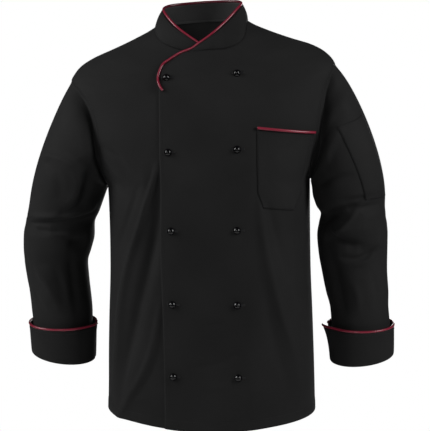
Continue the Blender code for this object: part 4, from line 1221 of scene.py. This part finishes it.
def satin(name, base, painted_shade):
    """Satin bias strip over a cord, glossy along its top, with painted shade on the cord's sides.
    """
    finish, shader = new_finish(name, base, 0.30, Sheen_Weight=0.10, Specular_IOR_Level=0.75)
    shader.inputs["Sheen Tint"].default_value = colour("#ff9aa8")
    tree = finish.node_tree
    uv = add_node(tree, "ShaderNodeUVMap", uv_map="cut")
    apart = add_node(tree, "ShaderNodeSeparateXYZ", {"Vector": uv.outputs["UV"]})
    round_it = add_node(tree, "ShaderNodeMath", {0: apart.outputs["X"]}, operation="ABSOLUTE")
    painted_shade_mask = add_node(
        tree, "ShaderNodeMapRange", {"Value": round_it.outputs["Value"]},
        interpolation_type="SMOOTHSTEP", From_Min=0.0042, From_Max=0.0070,
    )
    stretched = add_node(
        tree, "ShaderNodeMapping", {"Vector": uv.outputs["UV"]}, Scale=(0.25, 1.0, 1.0)
    )
    pucker = add_node(
        tree, "ShaderNodeTexNoise", {"Vector": stretched.outputs["Vector"]}, Scale=430.0, Detail=2.0
    )
    # The cord's sides, towards the seam, take the darker red as painted shade; its top keeps the
    # satin's own red.
    two_tones(tree, shader, painted_shade_mask.outputs["Result"], painted_shade, base)
    raised_by(tree, shader, pucker.outputs["Fac"], Strength=0.5, Distance=0.0005)
    return finish


# The second red is painted shade for the cord's sides.
red_satin = satin("red satin bias strip with painted shade", "#981f3a", "#5c0f22")


def piping_object(name, line, normals, radius):
    """A round cord along a line, with one side of its section towards the normals."""
    along = unit(np.gradient(line, axis=0))
    side_way = unit(np.cross(along, normals))
    up = np.cross(side_way, along)
    round_turn = np.linspace(0, math.tau, PIPING_COLUMNS)[None, :, None]
    points = line[:, None] + radius * (
        up[:, None] * np.cos(round_turn) + side_way[:, None] * np.sin(round_turn)
    )
    return sheet_object(name, points, red_satin, welded=True, capped=True)


def beside(edge, normals, distance):
    """Points at a distance past an edge, in the cloth's own plane."""
    return edge + unit(np.cross(np.gradient(edge, axis=0), normals)) * distance


def evenly_with(line, normals, count):
    """A line and its normals at count points at even distances along it."""
    columns = in_even_steps(lengths(line), count, *line.T, *normals.T)
    return np.stack(columns[:3], axis=-1), unit(np.stack(columns[3:], axis=-1))


# %% The cuffs' and the pocket's piping
pipings = {}
for side in ("right", "left"):
    _, lift, rise = CUFF_TOP
    rise += PIPING + SEAM
    line = cuff_point(side, cuff_turns, lift - CUFF_PIPING_SINK, rise)
    normals = sleeve_normal(side, cuff_turns, 1 + SLEEVE_TOP - (SLEEVE_END[side] + rise))
    pipings[f"cuff_{side}"] = piping_object(f"{side}_cuff_piping", line, normals, PIPING)

across = np.linspace(0, 1, 60)
mouth, below = (pocket_point(down, across, PATCH_WALL + POCKET_PIPING) for down in (0.0, 0.01))
line = mouth + unit(mouth - below) * (POCKET_PIPING + SEAM)
normals = unit(np.cross(np.gradient(mouth, axis=0), mouth - below))
pipings["chest_pocket"] = piping_object("chest_pocket_piping", line, normals, POCKET_PIPING)

# %% The collar's piping, which goes on down the flap's corner
CURL = (                 # how far past the flap's middle, level, height over the flap
    (0.0728, -0.0955, 0.0022),
    (0.0705, -0.1015, 0.0026),
    (0.0675, -0.1070, 0.0026),
    (0.0640, -0.1120, 0.0026),
)
FLAP_CORNER = -0.0478, -0.088    # levels between which the cord follows the flap's edge
COLLAR_PIPING_POINTS = 300
COLLAR_PIPING_ROUNDINGS = 6
edge = collar_points[0]
edge_normals = unit(np.cross(np.gradient(edge, axis=0), edge - collar_points[1]))
collar_line = beside(edge - edge_normals * COLLAR_WALL / 2, edge_normals, -(PIPING + SEAM))
levels = np.linspace(*FLAP_CORNER, 40)
reach = leading_sizes(levels)["reach"]
turns = turn_at(-reach, levels)
flap_edge = on_front(-reach, levels)
flap_normals = torso_normal(turns, levels)
flap_line = beside(flap_edge, flap_normals, PIPING + SEAM)
curl_sizes = size_table(("level", "reach", "over"), [(b, a, c) for a, b, c in CURL])
curl_levels = np.linspace(CURL[0][1], CURL[-1][1], 12)
curl = curl_sizes(curl_levels)
curl_turns = turn_at(-curl["reach"], curl_levels)
curl_line = on_front(-curl["reach"], curl_levels, curl["over"])
curl_normals = torso_normal(curl_turns, curl_levels)
line = np.concatenate([curl_line[::-1], flap_line[::-1], collar_line])
normals = np.concatenate([curl_normals[::-1], flap_normals[::-1], edge_normals])
line, normals = evenly_with(line, normals, COLLAR_PIPING_POINTS)
line = rounded(line, COLLAR_PIPING_ROUNDINGS)
pipings["collar"] = piping_object("collar_piping", line, normals, PIPING)

# %% [markdown]
# ## The studs
# Each button is a domed stud of glossy plastic, pushed through a buttonhole. It is turned
# on a lathe in effect, so a half profile spun round an axis gives it.

# %% Studs
BUTTONS = (              # level, x of the left one, x of the right one
    (-0.0886, 0.0715, -0.0575),
    (-0.2240, 0.0670, -0.0582),
    (-0.3710, 0.0615, -0.0584),
    (-0.5080, 0.0606, -0.0582),
    (-0.6427, 0.0616, -0.0576),
)
STUD_RADIUS = 0.0083
STUD_HEIGHT = 0.0068
STUD_CLEAR = 0.0003
STUD_PROFILE = (         # share of the radius, share of the height
    (0.0, 1.0), (0.10, 0.985), (0.20, 0.95), (0.30, 0.90), (0.39, 0.845), (0.50, 0.75),
    (0.60, 0.63), (0.70, 0.48), (0.79, 0.31), (0.86, 0.15), (0.87, 0.08), (0.80, 0.02),
    (0.62, 0.0), (0.0, 0.0),
)
plastic, _ = new_finish("glossy black plastic", "#08080a", 0.16, Specular_IOR_Level=0.5)


def stud_object(name, place, normal):
    """A stud spun round its axis, then set on the flap."""
    bm = bmesh.new()
    verts = [bm.verts.new((r * STUD_RADIUS, 0, h * STUD_HEIGHT)) for r, h in STUD_PROFILE]
    edges = [bm.edges.new(pair) for pair in zip(verts, verts[1:])]
    bmesh.ops.spin(
        bm, geom=verts + edges, cent=(0, 0, 0), axis=(0, 0, 1), angle=math.tau, steps=40,
        use_merge=True,
    )
    bmesh.ops.remove_doubles(bm, verts=bm.verts, dist=1e-6)
    bmesh.ops.recalc_face_normals(bm, faces=bm.faces)
    turned = Vector(normal).to_track_quat("Z", "Y").to_matrix().to_4x4()
    turned.translation = Vector(place)
    bm.transform(turned)
    return piece_from(name, bm, plastic)


studs = {}
for row, (level, left, right) in enumerate(BUTTONS, 1):
    for side, x in (("left", left), ("right", right)):
        normal = torso_normal(turn_at(x, level), level)
        place = on_front(x, level, STUD_CLEAR)
        studs[f"button_{side}_{row}"] = stud_object(f"stud_{side}_{row}", place, normal)

# %% [markdown]
# ## Buttonholes
# A buttonhole is a slit with thread sewn closely over its two edges and across its ends, so
# it stands up as a small bar. Each stud sits near one end, where the fronts pull it.

# %% Buttonholes
thread, _ = new_finish("black polyester thread", "#161618", 0.5, Specular_IOR_Level=0.4)
HOLE_ENDS = -0.0085, 0.0135     # from the stud's middle, along the hole
HOLE_HALF = 0.0019
HOLE_WALL = 0.0005
HOLE_CLEAR = 0.0001
HOLE_RISE = 0.00055
HOLE_TACK = 0.0014       # the length of the bar tack at each end
across = np.linspace(*HOLE_ENDS, 31)[None, :]
over = np.linspace(1, -1, 15)[:, None]
lips = np.exp(-((np.abs(over) - 0.52) / 0.34) ** 2)
from_start, past_end = across - HOLE_ENDS[0], across - HOLE_ENDS[1]
ends = np.maximum(1 - ease(from_start / HOLE_TACK), ease(past_end / HOLE_TACK + 1))
bar = HOLE_RISE * np.maximum(lips, ends * (1 - np.abs(over) ** 4))
buttonholes = {}
for row, (level, left, right) in enumerate(BUTTONS, 1):
    for side, x in (("left", left), ("right", right)):
        x, heights = together(x + across, level + HOLE_HALF * over)
        points = on_front(x, heights, HOLE_WALL + HOLE_CLEAR + bar)
        buttonholes[f"{side}_{row}"] = sheet_object(
            f"buttonhole_{side}_{row}", points, thread, body_middle, HOLE_WALL
        )

# %% [markdown]
# ## Stitches
# Topstitching holds the seams flat. Every stitch is a short grain of thread, 3.2 mm from the
# next. They follow rows and columns of the sheets' own grids, so they bend with the folds.
# A grain has two dozen faces, because there are some sixteen hundred of them.

# %% Rows of stitches along a sheet's grid
STITCH = 0.0032          # metres from one stitch to the next
STITCH_HALF = 0.0012
THREAD_HALF = 0.00030
THREAD_SINK = 0.6        # a stitch's middle stands this share of its half over the cloth


def stitch_row(points, rows, columns, centre):
    """Places and directions of stitches along part of a sheet's grid."""
    normals = unit(np.cross(np.gradient(points, axis=1), np.gradient(points, axis=0)))
    line, facing = points[rows, columns], normals[rows, columns]
    middle = line[len(line) // 2]
    if np.dot(facing[len(line) // 2], middle - np.array(centre(Vector(middle)))) < 0:
        facing = -facing
    length = np.linalg.norm(np.diff(line, axis=0), axis=-1).sum()
    line, facing = evenly_with(line, facing, max(int(length / STITCH), 2))
    along = unit(np.gradient(line, axis=0))
    # A front's first row is gathered into one point, which faces nowhere: no stitch there.
    faced = np.isfinite(facing).all(axis=-1)
    return line[faced], along[faced], facing[faced]


def stitched(name, rows_of_stitches):
    """One piece with all the stitches of a sheet."""
    whole = bmesh.new()
    size = STITCH_HALF, THREAD_HALF, THREAD_HALF
    for line, along, facing in rows_of_stitches:
        row = bmesh.new()
        for place, x, z in zip(line, along, facing):
            axes = np.stack([x, np.cross(z, x), z], axis=1) * size
            matrix = Matrix(axes.tolist()).to_4x4()
            matrix.translation = place + z * THREAD_HALF * THREAD_SINK
            bmesh.ops.create_uvsphere(row, u_segments=6, v_segments=4, radius=1.0, matrix=matrix)
        row_mesh = bpy.data.meshes.new("row")
        row.to_mesh(row_mesh)
        row.free()
        whole.from_mesh(row_mesh)
        bpy.data.meshes.remove(row_mesh)
    bmesh.ops.recalc_face_normals(whole, faces=whole.faces)
    print(name, sum(len(row[0]) for row in rows_of_stitches), "stitches")
    return piece_from(name, whole, thread)


# %% Where the jacket is stitched
ALL = slice(None)
HEM_ROW = -5             # the row of the grid at the top of the turned-up hem
BESIDE_ARMHOLE = slice(NECK_ROWS, NECK_ROWS + ARMHOLE_ROWS - 2)
STITCHED = {             # sheet: its middle, then the rows and columns that are sewn
    "left_front": (body_middle, (ALL, 2), (HEM_ROW, ALL), (BESIDE_ARMHOLE, -3)),
    "right_front": (body_middle, (HEM_ROW, slice(62, None)), (BESIDE_ARMHOLE, -3)),
    "back_panel": (body_middle, (HEM_ROW, ALL)),
    "right_cuff": (arm_middle("right"), (2, ALL)),
    "left_cuff": (arm_middle("left"), (2, ALL)),
    "stand_collar": (neck_middle, (1, ALL), (COLLAR_ROWS - 2, ALL)),
    "chest_pocket_patch": (body_middle, (2, ALL), (ALL, 1), (-2, ALL), (ALL, -2)),
    "pen_pocket_patch": (arm_middle("left"), (1, ALL), (ALL, 1), (-2, ALL), (ALL, -2)),
}
topstitching = {}
for sheet, (centre, *places) in STITCHED.items():
    rows_of_stitches = [stitch_row(grids[sheet], *place, centre) for place in places]
    topstitching[sheet] = stitched(f"topstitching_{sheet}", rows_of_stitches)

# %% [markdown]
# ## What each piece stands for
# The part's own solids are plain. Each piece made here takes the place of one of them.

# %% Replacing the plain solids
pieces = {"back": (back, "twill"), "collar": (collar, "collar_twill")}
for side in ("left", "right"):
    pieces[f"front_{side}"] = (fronts[side], "twill")
    pieces[f"sleeve_{side}"] = (sleeves[side], "twill")
    pieces[f"cuff_{side}"] = (cuffs[side], "cuff_twill")
pieces["chest_pocket"] = (chest_pocket, "pocket_twill")
pieces["sleeve_pocket"] = (pen_pocket, "pocket_twill")
for name, piece in pipings.items():
    pieces[f"piping_{name}"] = (piece, "red_piping")
for name, piece in studs.items():
    pieces[name] = (piece, "stud")
for node, (piece, slot) in pieces.items():
    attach(piece, "root")
    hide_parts(node)
for piece in (*buttonholes.values(), *topstitching.values()):
    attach(piece, "root")

# %% [markdown]
# ## How each piece is cut
# The seams carry the cloth. The table gives each piece's flat size, the rectangle that it is cut
# from, and its area, that of the bent grid, since twill hardly stretches; the flat sizes are
# printed.

# %% Flat sizes
FLAT_CUTS = (            # sheet, width, length, area, what it hangs from or lies on
    ("back_panel", 0.60, 0.77, 0.366, ()),
    ("right_front", 0.38, 0.80, 0.242, ("back_panel",)),
    ("left_front", 0.38, 0.80, 0.249, ("back_panel", "right_front")),
    ("right_sleeve", 0.46, 0.57, 0.192, ("right_front", "back_panel")),
    ("left_sleeve", 0.46, 0.57, 0.195, ("left_front", "back_panel")),
    ("right_cuff", 0.38, 0.071, 0.0250, ("right_sleeve",)),
    ("left_cuff", 0.38, 0.071, 0.0248, ("left_sleeve",)),
    ("stand_collar", 0.545, 0.045, 0.0195, ("left_front", "right_front", "back_panel")),
    ("chest_pocket_patch", 0.117, 0.150, 0.0148, ("left_front",)),
    ("pen_pocket_patch", 0.073, 0.160, 0.0110, ("left_sleeve",)),
)
sewn_on = {sheet: [piece] for sheet, piece in topstitching.items()}
sewn_on["left_front"] += buttonholes.values()
sewn_on["stand_collar"].append(pipings["collar"])
sewn_on["chest_pocket_patch"].append(pipings["chest_pocket"])
for side in ("left", "right"):
    sewn_on[f"{side}_cuff"].append(pipings[f"cuff_{side}"])
for sheet, width, length, area, under in FLAT_CUTS:
    print(sheet, "cut from", width, "x", length, "m")

# %% [markdown]
# ## Floor, light and camera
# Black cloth shows its form by its edges: tall softboxes stand well to the sides, where they
# graze the folds, a small one in front fills the middle and one behind lights the back.
# The camera sees the world as white paper, so the world's own light can be lower than that.
# The plain view transform keeps the white paper white.

# %% Floor and world
AMBIENT = 0.02
SOFTBOXES = (            # name, degrees from the front, distance, height, width, length, power
    ("softbox_left", -78.0, 2.0, 0.55, 0.5, 1.5, 15.5),
    ("softbox_left_front", -66.0, 2.0, 0.55, 0.5, 1.5, 11.0),
    ("softbox_right", 67.0, 2.0, 0.55, 0.5, 1.5, 22.5),
    ("softbox_front", -8.0, 2.4, 0.50, 0.9, 0.7, 7.5),
    ("softbox_back", 168.0, 2.6, -0.35, 1.2, 0.8, 20.0),
)

bm = bmesh.new()
bmesh.ops.create_circle(bm, cap_ends=True, cap_tris=False, segments=96, radius=1.4)
bmesh.ops.translate(bm, verts=bm.verts, vec=(0, 0, -1.2))
paper, _ = new_finish("white paper floor", "#f4f4f4", 0.9)
floor = piece_from("studio_floor", bm, paper)

world = bpy.data.worlds.new("studio")
world.use_nodes = True
tree = world.node_tree
output = tree.nodes["World Output"]
tree.nodes.remove(tree.nodes["Background"])
seen = add_node(tree, "ShaderNodeBackground", Strength=1.0)
shed = add_node(tree, "ShaderNodeBackground", Strength=AMBIENT)
for background in (seen, shed):
    background.inputs["Color"].default_value = (1, 1, 1, 1)
path = add_node(tree, "ShaderNodeLightPath")
both = add_node(tree, "ShaderNodeMixShader", {
    0: path.outputs["Is Camera Ray"], 1: shed.outputs["Background"], 2: seen.outputs["Background"],
})
tree.links.new(both.outputs["Shader"], output.inputs["Surface"])
bpy.context.scene.world = world
bpy.context.scene.view_settings.view_transform = "Standard"


# %% Softboxes
def softbox(name, degrees, distance, height, width, length, power):
    """A lamp as wide as a softbox, turned to the jacket."""
    data = bpy.data.lights.new(name, "AREA")
    data.shape = "RECTANGLE"
    data.size, data.size_y = width, length
    data.energy = power
    turn = math.radians(degrees)
    place = math.sin(turn) * distance, -math.cos(turn) * distance, height
    lamp = bpy.data.objects.new(name, data)
    lamp.location = place
    lamp.rotation_mode = "QUATERNION"
    aim = Vector((0.0, 0.0, -0.35)) - Vector(place)
    lamp.rotation_quaternion = aim.to_track_quat("-Z", "Y")
    bpy.context.scene.collection.objects.link(lamp)


for box in SOFTBOXES:
    softbox(*box)

# %% Camera
azimuth, elevation, distance = math.radians(5.0), math.radians(8.0), 3.2
target = Vector((0.0285, 0.0, -0.3617))
behind = Vector((
    math.sin(azimuth) * math.cos(elevation),
    -math.cos(azimuth) * math.cos(elevation),
    math.sin(elevation),
))
eye = bpy.data.cameras.new("camera")
eye.lens = 140.7
eye.sensor_fit = "VERTICAL"
eye.sensor_height = 36.0
camera = bpy.data.objects.new("camera", eye)
camera.location = target + distance * behind
camera.rotation_mode = "QUATERNION"
camera.rotation_quaternion = behind.to_track_quat("Z", "Y")
bpy.context.scene.collection.objects.link(camera)
bpy.context.scene.camera = camera
